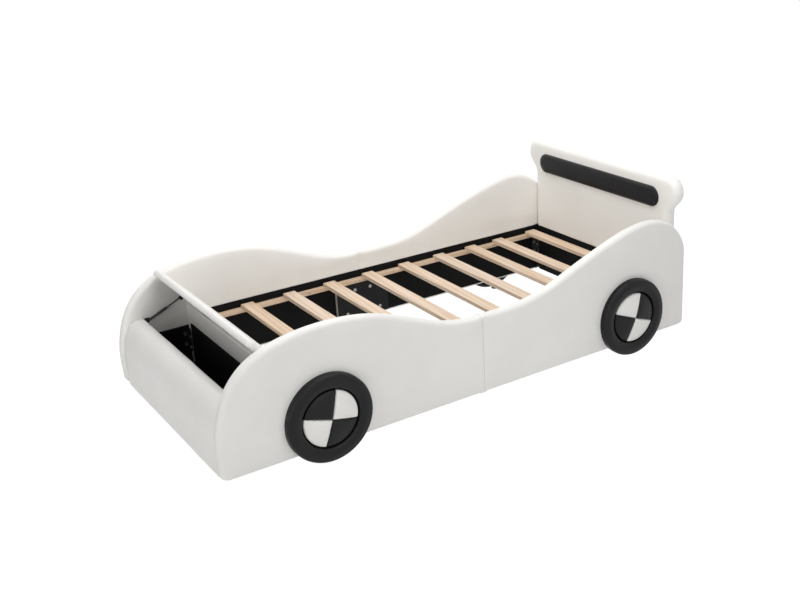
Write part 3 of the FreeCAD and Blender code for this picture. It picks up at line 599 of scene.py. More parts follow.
class Graph(Nodes):
    """One material's nodes, with its shader and its object coordinates ready to use."""

    def __init__(self, name: str) -> None:
        """Starts a material with a Principled shader."""
        self.material = bpy.data.materials.new(name)
        super().__init__(self.material)
        self.shader = self.add("ShaderNodeBsdfPrincipled")
        self.add("ShaderNodeOutputMaterial", {"Surface": self.shader.outputs[0]})
        coordinates = self.add("ShaderNodeTexCoord")
        self.place = coordinates.outputs["Object"]
        self.facing = coordinates.outputs["Normal"]

    def scaled(self, scale: tuple[float, float, float], shift: tuple[float, float, float]) -> Socket:
        """Object coordinates stretched by scale and moved by shift."""
        inputs = {"Vector": self.place, "Scale": scale, "Location": shift}
        return self.add("ShaderNodeMapping", inputs).outputs[0]

    def noise(self, scale: float, detail: float, place: Socket | None = None, warp: float = 0.0) -> Socket:
        """A cloud of values from 0 to 1 with that many lumps a metre."""
        inputs = {"Vector": place or self.place, "Scale": scale, "Detail": detail, "Distortion": warp}
        return self.add("ShaderNodeTexNoise", inputs).outputs[0]

    def wave(self, place: Socket, scale: float, distortion: float, direction: str, **inputs: float) -> Socket:
        """Bands of that many a metre along a direction, bent by a distortion."""
        inputs = {"Vector": place, "Scale": scale, "Distortion": distortion,
                  **{key.replace("_", " "): value for key, value in inputs.items()}}
        return self.add("ShaderNodeTexWave", inputs, bands_direction=direction).outputs["Fac"]

    def cells(self, scale: float, feature: str) -> Socket:
        """Cells of that many a metre, as the distance to their edges or middles."""
        return self.add("ShaderNodeTexVoronoi", {"Vector": self.place, "Scale": scale},
                        feature=feature).outputs["Distance"]

    def span(self, value: Socket, low: float, high: float, to_low: float, to_high: float) -> Socket:
        """Maps a value from low..high to to_low..to_high and holds it there."""
        return self.add("ShaderNodeMapRange", {0: value, 1: low, 2: high, 3: to_low, 4: to_high}).outputs[0]

    def mix(self, share: Socket | float, first: object, second: object) -> Socket:
        """Mixes two colours."""
        return self.add("ShaderNodeMix", {0: share, 6: first, 7: second}, data_type="RGBA").outputs[2]

    def inside(self, low: tuple, high: tuple) -> Socket:
        """1 in the box between two corners given in |X|, Y and Z, and 0 outside it."""
        place = self.add("ShaderNodeSeparateXYZ", {"Vector": self.place}).outputs
        values = (self.reckon("ABSOLUTE", place["X"]), place["Y"], place["Z"])
        share = 1.0
        for value, start, end in zip(values, low, high):
            share = self.reckon("MULTIPLY", share, self.reckon("GREATER_THAN", value, start))
            share = self.reckon("MULTIPLY", share, self.reckon("LESS_THAN", value, end))
        return share

    def bump(self, height: Socket, distance: float, strength: float, below: Socket | None = None) -> Socket:
        """Turns a height into a normal, on top of another bump if one is given."""
        inputs = {"Height": height, "Distance": distance, "Strength": strength}
        if below is not None:
            inputs["Normal"] = below
        return self.add("ShaderNodeBump", inputs).outputs[0]

    def finish(self, **sockets: object) -> bpy.types.Material:
        """Links or sets the shader's sockets, named with _ for spaces, and returns the material."""
        for key, value in sockets.items():
            socket = self.shader.inputs[key.replace("_", " ")]
            if isinstance(value, Socket):
                self.tree.links.new(value, socket)
            else:
                socket.default_value = value
        return self.material


@dataclass(frozen=True)
class ArtificialLeather:
    """Smooth coated leather over foam: a fine pebble grain, slow drifts of tone and a satin gloss."""

    name: str
    colour: tuple
    drift: tuple
    roughness: float = 0.42
    grain: float = 1.0
    gloss: float = 0.5
    lined: tuple | None = None  # two corners, in |X|, Y and Z, of the box in which it is black

    def material(self) -> bpy.types.Material:
        """Builds the material."""
        g = Graph(self.name)
        cloud = g.span(g.noise(5.0, 2.0), 0.3, 0.7, 0.0, 1.0)
        colour = g.mix(cloud, self.colour, self.drift)
        pebble = g.bump(g.cells(620.0, "SMOOTH_F1"), 0.00022 * self.grain, 0.35)
        pores = g.bump(g.noise(1500.0, 2.0), 0.00008 * self.grain, 0.4, pebble)
        soft = g.bump(g.noise(26.0, 2.0), 0.0009, 0.35, pores)
        rough = g.span(g.noise(60.0, 3.0), 0.3, 0.7, self.roughness - 0.05, self.roughness + 0.06)
        if self.lined is not None:
            colour = g.mix(g.inside(*self.lined), colour, srgb(12, 12, 12))
        return g.finish(Base_Color=colour, Roughness=rough, Normal=soft, Specular_IOR_Level=self.gloss)


@dataclass(frozen=True)
class WovenLining:
    """Thin woven cloth: crossing threads and a little lint."""

    name: str
    colour: tuple
    light: tuple
    roughness: float = 0.75
    threads: float = 420.0  # a metre

    def material(self) -> bpy.types.Material:
        """Builds the material."""
        g = Graph(self.name)
        across, upright = (g.wave(g.place, self.threads, 1.0, direction) for direction in "YZ")
        weave = g.reckon("MULTIPLY", across, upright)
        lint = g.span(g.noise(900.0, 4.0), 0.55, 0.8, 0.0, 0.6)
        slow = g.noise(7.0, 2.0)
        colour = g.mix(g.reckon("MULTIPLY", lint, slow), self.colour, self.light)
        normal = g.bump(weave, 0.00015, 0.5, g.bump(g.noise(30.0, 2.0), 0.001, 0.3))
        return g.finish(Base_Color=colour, Roughness=self.roughness, Normal=normal, Specular_IOR_Level=0.15)


@dataclass(frozen=True)
class Timber:
    """Planed softwood with its grain along one axis: growth lines, fibres and a few darker streaks."""

    name: str
    pale: tuple
    dark: tuple
    along: Axis
    shift: float  # moves the grain, so that no two pieces are alike
    stretch: float = 0.045  # of the grain along the piece
    rings: float = 22.0  # growth lines a metre

    def material(self) -> bpy.types.Material:
        """Builds the material."""
        g = Graph(self.name)
        scale = [1.0, 1.0, 1.0]
        scale[self.along.value] = self.stretch
        place = g.scaled(tuple(scale), (self.shift, self.shift * 0.7, self.shift * 0.3))
        rings = g.wave(place, self.rings, 5.5, "DIAGONAL", Detail=2.0, Detail_Scale=1.4)
        fibre = g.noise(900.0, 3.0, place)
        streak = g.span(g.noise(55.0, 3.0, place, 0.4), 0.48, 0.75, 0.0, 0.55)
        tone = g.mix(g.span(rings, 0.1, 0.95, 0.0, 0.75), self.pale, self.dark)
        tone = g.mix(g.reckon("MULTIPLY", streak, 0.5), tone, self.dark)
        deep = shaded(self.dark, 0.72)
        tone = g.mix(g.span(fibre, 0.55, 0.75, 0.0, 0.22), tone, deep)
        normal = g.bump(fibre, 0.00012, 0.5, g.bump(rings, 0.0001, 0.4))
        rough = g.span(rings, 0.0, 1.0, 0.62, 0.5)
        return g.finish(Base_Color=tone, Roughness=rough, Normal=normal)


@dataclass(frozen=True)
class ParticleBoard:
    """Raw board of pressed chips."""

    name: str
    pale: tuple
    dark: tuple

    def material(self) -> bpy.types.Material:
        """Builds the material."""
        g = Graph(self.name)
        chips = g.cells(240.0, "F1")
        colour = g.mix(g.span(chips, 0.1, 0.8, 0.0, 1.0), self.pale, self.dark)
        return g.finish(Base_Color=colour, Roughness=0.85, Normal=g.bump(chips, 0.0004, 0.4))


@dataclass(frozen=True)
class EdgedLaminate:
    """Dark laminate on a board whose sawn ends, square to Y, are left pale."""

    name: str
    face: tuple
    end: tuple

    def material(self) -> bpy.types.Material:
        """Builds the material."""
        g = Graph(self.name)
        parts = g.add("ShaderNodeSeparateXYZ", {"Vector": g.facing})
        square = g.reckon("GREATER_THAN", g.reckon("ABSOLUTE", parts.outputs["Y"]), 0.8)
        chips = g.span(g.noise(260.0, 3.0), 0.35, 0.65, 0.0, 1.0)
        sawn = g.mix(chips, self.end, shaded(self.end, 0.8))
        # Lighter grey clouds mixed into the black face.
        clouded = g.mix(g.span(g.noise(18.0, 4.0), 0.5, 0.8, 0.0, 0.3), self.face, srgb(30, 30, 31))
        rough = g.span(g.noise(40.0, 3.0), 0.3, 0.7, 0.32, 0.5)
        normal = g.bump(g.noise(700.0, 2.0), 0.00006, 0.5)
        return g.finish(Base_Color=g.mix(square, clouded, sawn), Roughness=rough, Normal=normal,
                        Specular_IOR_Level=0.2)


@dataclass(frozen=True)
class CoatedMetal:
    """Steel with a coat or plating: faint orange peel and slow stains."""

    name: str
    colour: tuple
    stain: tuple
    metallic: float
    roughness: float

    def material(self) -> bpy.types.Material:
        """Builds the material."""
        g = Graph(self.name)
        colour = g.mix(g.span(g.noise(90.0, 4.0), 0.4, 0.75, 0.0, 1.0), self.colour, self.stain)
        rough = g.span(g.noise(240.0, 3.0), 0.3, 0.7, self.roughness - 0.06, self.roughness + 0.08)
        normal = g.bump(g.noise(1100.0, 2.0), 0.00005, 0.5)
        return g.finish(Base_Color=colour, Roughness=rough, Normal=normal, Metallic=self.metallic)


@dataclass(frozen=True)
class MouldedPlastic:
    """Matt moulded plastic with a spark-eroded grain."""

    name: str
    colour: tuple

    def material(self) -> bpy.types.Material:
        """Builds the material."""
        g = Graph(self.name)
        colour = g.mix(g.noise(30.0, 3.0), self.colour, shaded(self.colour, 1.5))
        return g.finish(Base_Color=colour, Roughness=0.6, Normal=g.bump(g.noise(1400.0, 2.0), 0.0001, 0.5))


class Finishes:
    """Every material of the bed, built once.

    The white leather is black below the linings' tops where the headboard meets the panels,
    within LINED_HALF of the middle and from LINED_BEFORE to LINED_BEHIND off the headboard's face.
    """

    LINED_HALF = 0.512
    LINED_BEFORE = 6 * MM
    LINED_BEHIND = 24 * MM
    LINED_DROP = 2 * MM  # below the lining's top
    PINE_SEED = 700

    def __init__(self) -> None:
        """Builds the materials that more than one piece can wear."""
        front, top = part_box("headboard_cover")[0].y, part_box("headboard_lining")[1].z
        lined = ((0.0, front - self.LINED_BEFORE, 0.0),
                 (self.LINED_HALF, front + self.LINED_BEHIND, top - self.LINED_DROP))
        self.white = ArtificialLeather("white_leather", srgb(237, 236, 233), srgb(233, 231, 227),
                                       lined=lined).material()
        # Painted light: a paler copy of the same white leather, worn by the far panels, the partition and the
        # headboard so that these faces come out brighter, as if more light reached them.
        self.painted_light_white = ArtificialLeather("white_leather_painted_light", srgb(247, 245, 241), srgb(243, 241, 236),
                                             lined=lined).material()
        self.black = ArtificialLeather("black_leather", srgb(23, 23, 25), srgb(18, 18, 20), 0.42, 1.3,
                                       0.2).material()
        self.lining = WovenLining("black_lining", srgb(8, 8, 8), srgb(22, 22, 23)).material()
        self.dust_cloth = WovenLining("dust_cloth", srgb(24, 24, 25), srgb(52, 52, 54), 0.9).material()
        self.board = ParticleBoard("particle_board", srgb(196, 168, 130), srgb(158, 126, 88)).material()
        self.laminate = EdgedLaminate("black_laminate", srgb(9, 9, 10), srgb(226, 220, 210)).material()
        self.black_metal, self.bracket, self.zinc, self.bright = (
            CoatedMetal(name, srgb(*colour), srgb(*stain), metallic, roughness).material()
            for name, colour, stain, metallic, roughness in (
                ("black_steel", (34, 34, 36), (50, 50, 52), 0.35, 0.38),
                ("bracket_steel", (88, 88, 90), (58, 58, 60), 0.85, 0.3),
                ("zinc_plate", (168, 168, 166), (130, 130, 126), 0.9, 0.34),
                ("bright_steel", (196, 196, 198), (176, 176, 178), 1.0, 0.2)))
        self.plastic = MouldedPlastic("black_plastic", srgb(30, 30, 31)).material()
        self.by_slot = {"white_upholstery": self.white, "black_upholstery": self.black,
                        "black_lining": self.lining, "panel_board": self.board, "black_board": self.laminate,
                        "black_metal": self.black_metal, "zinc_steel": self.zinc,
                        "bright_steel": self.bright, "black_plastic": self.plastic}

    def pine(self, number: int) -> bpy.types.Material:
        """A pine of its own for each slat: the number moves the grain and changes the tone."""
        draw = np.random.default_rng(self.PINE_SEED + number)
        warm = float(draw.uniform(-0.5, 0.5))
        pale = srgb(226 - 2 * warm, 206 - 6 * warm, 184 - 12 * warm)
        dark = srgb(208 - 3 * warm, 178 - 8 * warm, 148 - 16 * warm)
        return Timber(f"pine_{number}", pale, dark, Axis.X, float(draw.uniform(-3, 3))).material()

    def dress_frame(self) -> None:
        """Gives every solid of the frame the material of its slot, apart from the pine ones."""
        for row in frame["record"]["subparts"]:
            if row["material_slot"] in self.by_slot:
                dress(frame["nodes"][row["node"]], self.by_slot[row["material_slot"]])
        for name, material in (("lid_board", self.dust_cloth), ("wheel_boards", self.lining),
                               ("corner_brackets", self.bracket), ("near_strut_rod", self.black_metal),
                               ("far_strut_rod", self.black_metal)):
            dress(frame["nodes"][name], material)


def hand_over(thing: bpy.types.Object, material: bpy.types.Material, body: str, node: str) -> None:
    """Dresses a new piece, hangs it on the body that it moves with and hides the solids that it stands for.

    Args:
        thing: The piece.
        material: Its material.
        body: The body it moves with.
        node: The solids it stands for.
    """
    dress(thing, material)
    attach(thing, body)
    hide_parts(node)
    log.info("%s: %d faces", thing.name, len(thing.data.polygons))


# ---- side panels ---------------------------------------------------------------------------------
class Half(Enum):
    """The two halves of a side panel."""

    FRONT = "front"
    REAR = "rear"


@dataclass
class SidePanels:
    """The four halves of the two side panels.

    Attributes:
        edge_round: Radius of the padded edges.
        seam_round: Radius of the edges where two halves meet.
        outer_puff: How far the outer face stands out.
        inner_puff: How far the inner face stands out above the lining.
        inner_back: How far the inner face lies behind the lining's place.
        end_inset: Distance of the spine's ends from the toe or the tail.
        seam_inset: Distance of the spine's ends from the seam.
        groove: Depth of the sewn seams along the edges.
        seam_fade: Distances from the seam between which the edge radius grows to its full size.
        rise_from, rise_to: Heights above the lining's top between which the inner face comes out.
        edge_fade: Distance from the outline over which the inner face rises.
        wave_share: Share of the inner puff by which it comes and goes.
    """

    finishes: Finishes
    edge_round: float = 20 * MM
    seam_round: float = 5 * MM
    outer_puff: float = 2.0 * MM
    inner_puff: float = 3.0 * MM
    inner_back: float = 3.0 * MM
    end_inset: float = 0.11
    seam_inset: float = 0.07
    groove: float = 1.1 * MM
    seam_fade: tuple[float, float] = (0.002, 0.03)
    rise_from: float = 0.015
    rise_to: float = 0.09
    edge_fade: float = 0.07
    wave_share: float = 0.35

    def shape(self, half: Half) -> tuple[Array, list]:
        """Works out one near half.

        The outline is the cover's own at the middle of its thickness. The edge radius falls to
        the seam's within 30 mm of the seam. Below the lining's top the inner face lies flat, just
        behind the lining, and above it the face stands out.

        Args:
            half: Which half.

        Returns:
            Points and faces in the frame's axes.
        """
        node = f"near_side_{half.value}_cover"
        low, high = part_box(node)
        lining_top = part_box(f"near_side_{half.value}_lining")[1].z
        loop = section_of(node, Axis.X, (low.x + high.x) / 2)
        if half is Half.FRONT:
            start, end, seam = low.y + self.end_inset, high.y - self.seam_inset, high.y
        else:
            start, end, seam = low.y + self.seam_inset, high.y - self.end_inset, low.y
        ring = Ring.from_loop(loop, start, end, middle=170)
        from_seam = np.abs(ring.edge[:, 0] - seam)
        growth = smooth_step(from_seam, *self.seam_fade)
        rounds = self.seam_round + (self.edge_round - self.seam_round) * growth
        plate = PaddedPlate(ring, low.x, high.x, rounds, puff=(0.0, self.outer_puff), spread=0.05,
                            uneven=0.35 * MM, seed=11 if half is Half.FRONT else 23, groove=self.groove)
        points, faces = plate.surface()
        middle = (low.x + high.x) / 2
        inner = points[:, 2] < middle
        distance, _ = edge_fall(points[:, :2], ring.edge, rounds)
        above = smooth_step(points[:, 1], lining_top + self.rise_from, lining_top + self.rise_to)
        wave = ripple(points[:, 0], points[:, 1], seed=90, shortest=0.12, longest=0.6)
        within = smooth_step(distance, 0.0, self.edge_fade)
        rise = self.inner_puff * (1 + self.wave_share * wave) * above * within
        points[:, 2] += inner * (self.inner_back * (1 - above) - rise)
        return points[:, [2, 0, 1]], faces

    def build(self) -> None:
        """Makes the four halves; a far half is the near one in a mirror."""
        for half in Half:
            points, faces = self.shape(half)
            for side, turn in (("near", 1.0), ("far", -1.0)):
                node = f"{side}_side_{half.value}_cover"
                thing = piece_from(f"{side}_side_{half.value}_upholstery", [(points * (turn, 1, 1), faces)])
                # The far halves wear the paler copy of the white leather: painted light on their inner faces.
                leather = self.finishes.painted_light_white if node.startswith("far") else self.finishes.white
                hand_over(thing, leather, "bed", node)


# ---- nose, partition and lid ---------------------------------------------------------------------
@dataclass
class NosePanel:
    """The nose panel: its section carried from one side panel to the other."""

    finishes: Finishes
    end_round: float = 5 * MM
    end_gap: float = 1.0 * MM
    uneven: float = 0.5 * MM
    cut_at: float = 0.25  # X of the section

    def build(self) -> None:
        """Reads the section from the cover's own solid and carries it across."""
        low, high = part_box("nose_cover")
        section = resampled(section_of("nose_cover", Axis.X, self.cut_at), count=260, closed=True)
        section = self.softened(section)
        stations = stations_with_ends(low.x + self.end_gap, high.x - self.end_gap, self.end_round, count=90)
        skin = carried(section, stations, self.end_round, self.uneven, seed=31)
        thing = piece_from("nose_upholstery", [skin])
        hand_over(thing, self.finishes.white, "bed", "nose_cover")

    @staticmethod
    def softened(section: Array) -> Array:
        """Rounds the section's corners: each point becomes the mean of its neighbours, four times."""
        for _ in range(4):
            section = (np.roll(section, 1, axis=0) + 2 * section + np.roll(section, -1, axis=0)) / 4
        return section


@dataclass
class Partition:
    """The upholstered wall between the storage box and the mattress."""

    finishes: Finishes
    edge_round: float = 9 * MM
    side_gap: float = 0.6 * MM
    end_inset: float = 0.06  # of the spine's ends
    margin: float = 0.05

    def build(self) -> None:
        """Makes the wall as a padded plate across the bed."""
        low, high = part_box("partition_cover")
        x = high.x - self.side_gap
        loop = np.array([[-x, low.z], [x, low.z], [x, high.z], [-x, high.z]])
        ring = Ring.from_loop(loop, -x + self.end_inset, x - self.end_inset, self.margin,
                              (low.z + high.z) / 2, ends=50)
        rounds = np.full(len(ring.edge), self.edge_round)
        plate = PaddedPlate(ring, low.y, high.y, rounds, puff=(0.0, 0.0), spread=0.04,
                            uneven=0.2 * MM, seed=5)
        points, faces = plate.surface()
        thing = piece_from("partition_upholstery", [(points[:, [0, 2, 1]], faces)])
        # The partition wears the paler copy of the white leather: painted light on a face under the lid.
        hand_over(thing, self.finishes.painted_light_white, "bed", "partition_cover")


@dataclass
class Lid:
    """The storage lid: a padded plate that stands open on its hinges.

    Attributes:
        open_degrees: How far it stands open at rest.
        length: From its back edge to its front edge.
        thick: Its thickness.
        back_gap: From the hinge axle to its back edge.
    """

    finishes: Finishes
    open_degrees: float = 47.0
    length: float = 0.220
    thick: float = 0.030
    back_gap: float = 0.006
    edge_round: float = 12 * MM
    corner_round: float = 22 * MM
    under: float = 0.6 * MM  # the cover's underside above the board's
    inset: float = 0.06  # of the spine's ends, and of the ring inside the outline

    def build(self) -> None:
        """Makes the plate level, with rounded corners in plan, then turns it about the axle."""
        axle = next(j for j in frame["joints"] if j["name"] == "lid_hinge")["pos_m"]
        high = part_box("lid_cover")[1].x
        r = self.corner_round
        quarter = np.linspace(0, math.pi / 2, 9)
        arc = np.stack([np.cos(quarter), np.sin(quarter)], axis=1) * r
        middle = np.array([high - r, self.length - r])
        corner = middle + arc
        front = np.concatenate([corner, (corner * (-1, 1))[::-1]])
        loop = np.concatenate([[[-high, 0.0], [high, 0.0]], front])
        ring = Ring.from_loop(loop, -high + self.inset, high - self.inset, self.inset, self.length / 2)
        rounds = np.full(len(ring.edge), self.edge_round)
        plate = PaddedPlate(ring, self.under, self.thick, rounds, puff=(0.0, 1.5 * MM), spread=0.05,
                            uneven=0.2 * MM, seed=8, groove=0.3 * MM)
        points, faces = plate.surface()
        level = np.stack([points[:, 0], -self.back_gap - points[:, 1], points[:, 2]], axis=1)
        turn = np.array(Matrix.Rotation(-math.radians(self.open_degrees), 3, "X"))
        placed = level @ turn.T + np.array(axle)
        thing = piece_from("lid_upholstery", [(placed, faces)])
        hand_over(thing, self.finishes.white, "lid", "lid_cover")


# ---- headboard -----------------------------------------------------------------------------------
@dataclass
class Headboard:
    """The headboard, shaped as a spoiler, and its long black pad."""

    finishes: Finishes
    edge_round: float = 29 * MM
    spine_half: float = 0.468
    core_margin: float = 0.125
    front_puff: float = 2.0 * MM
    pad_round: float = 9 * MM
    pad_puff: float = 1.0 * MM
    pad_swell: float = 2.0 * MM
    spine_level: float = 0.5
    rise_height: float = 0.06  # above the lining over which the front comes out
    edge_fade: float = 0.07

    def build(self) -> None:
        """Makes the board's cover and the pad."""
        low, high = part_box("headboard_cover")
        loop = section_of("headboard_cover", Axis.Y, (low.y + high.y) / 2)
        ring = Ring.from_loop(loop, -self.spine_half, self.spine_half, margin=self.core_margin,
                              level=self.spine_level, ends=110)
        rounds = np.full(len(ring.edge), self.edge_round)
        plate = PaddedPlate(ring, low.y, high.y, rounds, puff=(0.0, 2 * MM), spread=0.06,
                            uneven=0.5 * MM, seed=41, groove=0.9 * MM)
        points, faces = plate.surface()
        lining_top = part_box("headboard_lining")[1].z
        front = points[:, 2] < (low.y + high.y) / 2
        distance, _ = edge_fall(points[:, :2], ring.edge, rounds)
        above = (smooth_step(points[:, 1], lining_top, lining_top + self.rise_height)
                 * smooth_step(distance, 0.0, self.edge_fade))
        points[:, 2] -= front * self.front_puff * above
        thing = piece_from("headboard_upholstery", [(points[:, [0, 2, 1]], faces)])
        # The headboard wears the paler copy of the white leather: painted light on its face.
        hand_over(thing, self.finishes.painted_light_white, "bed", "headboard_cover")
        self.build_pad()

    def build_pad(self) -> None:
        """Makes the pad: a long round-ended pillow on the headboard's face."""
        low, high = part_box("headboard_pad")
        loop = section_of("headboard_pad", Axis.Y, high.y - 2 * MM)
        end = high.x - (high.z - low.z) / 2
        ring = Ring.from_loop(loop, -end, end, middle=220)
        rounds = np.full(len(ring.edge), self.pad_round)
        plate = PaddedPlate(ring, low.y, high.y + 4 * MM, rounds, puff=(self.pad_puff, 0.0), spread=0.02,
                            uneven=0.25 * MM, seed=61)
        points, faces = plate.surface()
        points[:, 2] = high.y - points[:, 2]
        points, faces = simulated_pad("long_pad", points, faces, held_below=4 * MM, voxel=4.5 * MM,
                                      cap=self.pad_swell)
        points[:, 2] = high.y - points[:, 2]
        thing = piece_from("headboard_long_pad", [(points[:, [0, 2, 1]], faces)])
        finer(thing)
        hand_over(thing, self.finishes.black, "bed", "headboard_pad")


# ---- wheels --------------------------------------------------------------------------------------
class Corner(Enum):
    """The four wheels, with the way that their quarters are turned, in degrees."""

    NEAR_FRONT = ("near", "front", -15.0)
    NEAR_REAR = ("near", "rear", -21.0)
    FAR_FRONT = ("far", "front", -15.0)
    FAR_REAR = ("far", "rear", -21.0)


@dataclass
class Wheels:
    """Padded tyres and the sewn hubs of two white and two black quarters.

    Attributes:
        outer_round: Radius of the tyre's outer shoulder.
        inner_round: Radius of its inner shoulder.
        crown: How far the tyre's face rises in its middle.
        gather: Depth of the gathers round the tyre.
        hub_radius: Radius of the four quarters.
        hub_base: Depth at which the quarters start.
        hub_edge: Their height at the rim.
        hub_crown: How much higher they are at the axle.
        seam_round: Radius of their sewn edges.
        tyre_gap: Between the quarters and the tyre.
        swell: The furthest that the simulation blows a quarter up.
        gap: Half the seam between two quarters.
        turns: Sections round the tyre.
    """

    finishes: Finishes
    outer_round: float = 14 * MM
    inner_round: float = 13 * MM
    crown: float = 2.5 * MM
    gather: float = 1.1 * MM
    hub_radius: float = 0.1152
    hub_base: float = 12 * MM
    hub_edge: float = 16.0 * MM
    hub_crown: float = 15 * MM
    seam_round: float = 5 * MM
    tyre_gap: float = 6.5 * MM
    swell: float = 2.5 * MM
    gap: float = 0.4 * MM
    turns: int = 240

    def tyre_section(self, depth: float, inner: float, outer: float) -> Array:
        """The tyre's section as (depth, radius): two round shoulders and a slightly crowned face."""
        turn = np.linspace(0, math.pi / 2, 12)
        ro, ri = self.outer_round, self.inner_round
        shoulder = np.stack([depth - ro + ro * np.sin(turn), outer - ro + ro * np.cos(turn)], axis=1)
        share = np.linspace(0, 1, 12)[1:-1]
        radius = (outer - ro) + share * ((inner + ri) - (outer - ro))
        face = np.stack([depth + self.crown * np.sin(math.pi * share), radius], axis=1)
        edge = np.stack([depth - ri + ri * np.cos(turn), inner + ri - ri * np.sin(turn)], axis=1)
        wall = np.array([[self.hub_base, inner]])
        side = np.array([[0.0, inner], [0.0, outer]])
        outside = np.stack([np.linspace(0, depth - ro, 7)[1:-1], np.full(5, outer)], axis=1)
        return np.concatenate([side, outside, shoulder, face, edge, wall])

    def tyre(self, node: str) -> tuple[Array, list]:
        """Turns the section about the axle, with gathers that fade towards the middle of the face.

        Args:
            node: The tyre's solid.

        Returns:
            Points for the near side's depth direction, and faces.
        """
        low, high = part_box(node)
        inner, outer = self.hub_radius + self.tyre_gap, (high.z - low.z) / 2
        section = self.tyre_section(high.x - low.x, inner, outer)
        angle = np.linspace(0, 2 * math.pi, self.turns, endpoint=False)
        depth = np.broadcast_to(section[:, 0], (self.turns, len(section)))
        radius = np.broadcast_to(section[:, 1], (self.turns, len(section)))
        inside = np.exp(-((radius - inner) / (10 * MM)) ** 2) * (depth > self.hub_base)
        pleat = sum(np.sin(n * angle + 1.7 * n) for n in (23, 37, 58)) / 3
        slow = sum(np.sin(n * angle + 0.9 * n) for n in (2, 3, 5)) / 3
        sway = 0.6 * MM * slow[:, None] * (depth > self.hub_base)
        depth = depth + self.gather * inside * pleat[:, None] + sway
        y0, z0 = (low.y + high.y) / 2, (low.z + high.z) / 2
        y = y0 + radius * np.sin(angle)[:, None]
        z = z0 + radius * np.cos(angle)[:, None]
        points = np.stack([low.x + depth, y, z], axis=-1)
        return points.reshape(-1, 3), grid_faces(*depth.shape, close_rows=True).tolist()

    def quarter(self) -> tuple[Array, list]:
        """One sewn quarter about the axle, as (y, z, depth).

        Its face is the hub's dome, the crown times 1 - (r / R)^2, and falls away at its seams.
        """
        turn = np.linspace(0, math.pi / 2, 40)
        arc = np.stack([np.cos(turn), np.sin(turn)], axis=1) * self.hub_radius + self.gap
        straight = np.linspace(0, 1, 30)[1:-1, None]
        tip = np.array([[self.gap, self.gap]])
        inwards = arc[-1:] + (tip - arc[-1:]) * straight
        outwards = tip + (arc[:1] - tip) * straight
        edge = np.concatenate([arc, inwards, tip, outwards])
        centre = np.broadcast_to(np.array([[0.42, 0.42]]) * self.hub_radius, edge.shape)
        rounds = np.full(len(edge), self.seam_round)
        base = self.hub_base
        plate = PaddedPlate(Ring(edge, [centre]), base, base + self.hub_edge, rounds, puff=(0.0, 1 * MM),
                            spread=0.02, uneven=0.3 * MM, seed=71)
        points, faces = plate.surface()
        share = np.clip((points[:, 2] - base) / self.hub_edge, 0.0, 1.0)
        reach2 = (points[:, :2] ** 2).sum(axis=1) / self.hub_radius ** 2
        points[:, 2] += self.hub_crown * share * np.clip(1 - reach2, 0.0, 1.0)
        return simulated_pad("hub_quarter", points, faces, held_below=base + self.hub_edge / 2,
                             voxel=2.6 * MM, cap=self.swell)

    def build(self) -> None:
        """Makes the four tyres and the two sets of quarters."""
        parts: dict[str, list] = {"white": [], "black": []}
        quarter, faces = self.quarter()
        for corner in Corner:
            side, end, turned = corner.value
            mirror = 1.0 if side == "near" else -1.0
            node = f"near_{end}_tyre"
            points, tyre_faces = self.tyre(node)
            thing = piece_from(f"{side}_{end}_padded_tyre", [(points * (mirror, 1, 1), tyre_faces)])
            hand_over(thing, self.finishes.black, "bed", f"{side}_{end}_tyre")
            low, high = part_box(node)
            centre = np.array([low.x, (low.y + high.y) / 2, (low.z + high.z) / 2])
            for k in range(4):
                angle = math.radians(90 * k + turned)
                y = quarter[:, 0] * math.cos(angle) - quarter[:, 1] * math.sin(angle)
                z = quarter[:, 0] * math.sin(angle) + quarter[:, 1] * math.cos(angle)
                placed = (np.stack([quarter[:, 2], y, z], axis=1) + centre) * (mirror, 1, 1)
                lead = 0 if end == "front" else 1
                parts["white" if k % 2 == lead else "black"].append((placed, faces))
        for colour, material in (("white", self.finishes.white), ("black", self.finishes.black)):
            thing = piece_from(f"hub_{colour}_pads", parts[colour])
            hand_over(thing, material, "bed", f"hub_{colour}_quarters")


# ---- slats ---------------------------------------------------------------------------------------
@dataclass
class Slats:
    """The slats and ledgers keep their solids and get a pine each."""

    finishes: Finishes
    count: int = 9

    def build(self) -> None:
        """Dresses each slat in its own pine and the ledgers in one whose grain runs along the bed."""
        for number in range(1, self.count + 1):
            dress(frame["nodes"][f"slat_{number}"], self.finishes.pine(number))
        timber = Timber("pine_ledger", srgb(232, 207, 180), srgb(212, 180, 146), Axis.Y, 1.3).material()
        for end in ("front", "rear"):
            dress(frame["nodes"][f"ledgers_{end}"], timber)


# ---- camera and studio ---------------------------------------------------------------------------
@dataclass
class PhotoCamera:
    """The photograph's own point of view."""

    place: tuple[float, float, float] = (4.0051, -2.3739, 2.1547)
    azimuth: float = 54.12
    elevation: float = 18.75
    roll: float = -1.43
    lens: float = 49.47
    sensor: float = 36.0
    shift: tuple[float, float] = (-0.1313, -0.0754)

    def build(self) -> None:
        """Makes the camera and makes it the scene's."""
        data = bpy.data.cameras.new("photo_camera")
        data.lens, data.sensor_width = self.lens, self.sensor
        data.shift_x, data.shift_y = self.shift
        camera = linked("photo_camera", data)
        a, e, r = (math.radians(v) for v in (self.azimuth, self.elevation, self.roll))
        back = Vector((math.sin(a) * math.cos(e), -math.cos(a) * math.cos(e), math.sin(e)))
        level = Vector((0, 0, 1)).cross(back).normalized()
        upright = back.cross(level)
        right = level * math.cos(r) + upright * math.sin(r)
        up = upright * math.cos(r) - level * math.sin(r)
        matrix = Matrix((right, up, back)).transposed().to_4x4()
        matrix.translation = Vector(self.place)
        camera.matrix_world = matrix
        bpy.context.scene.camera = camera


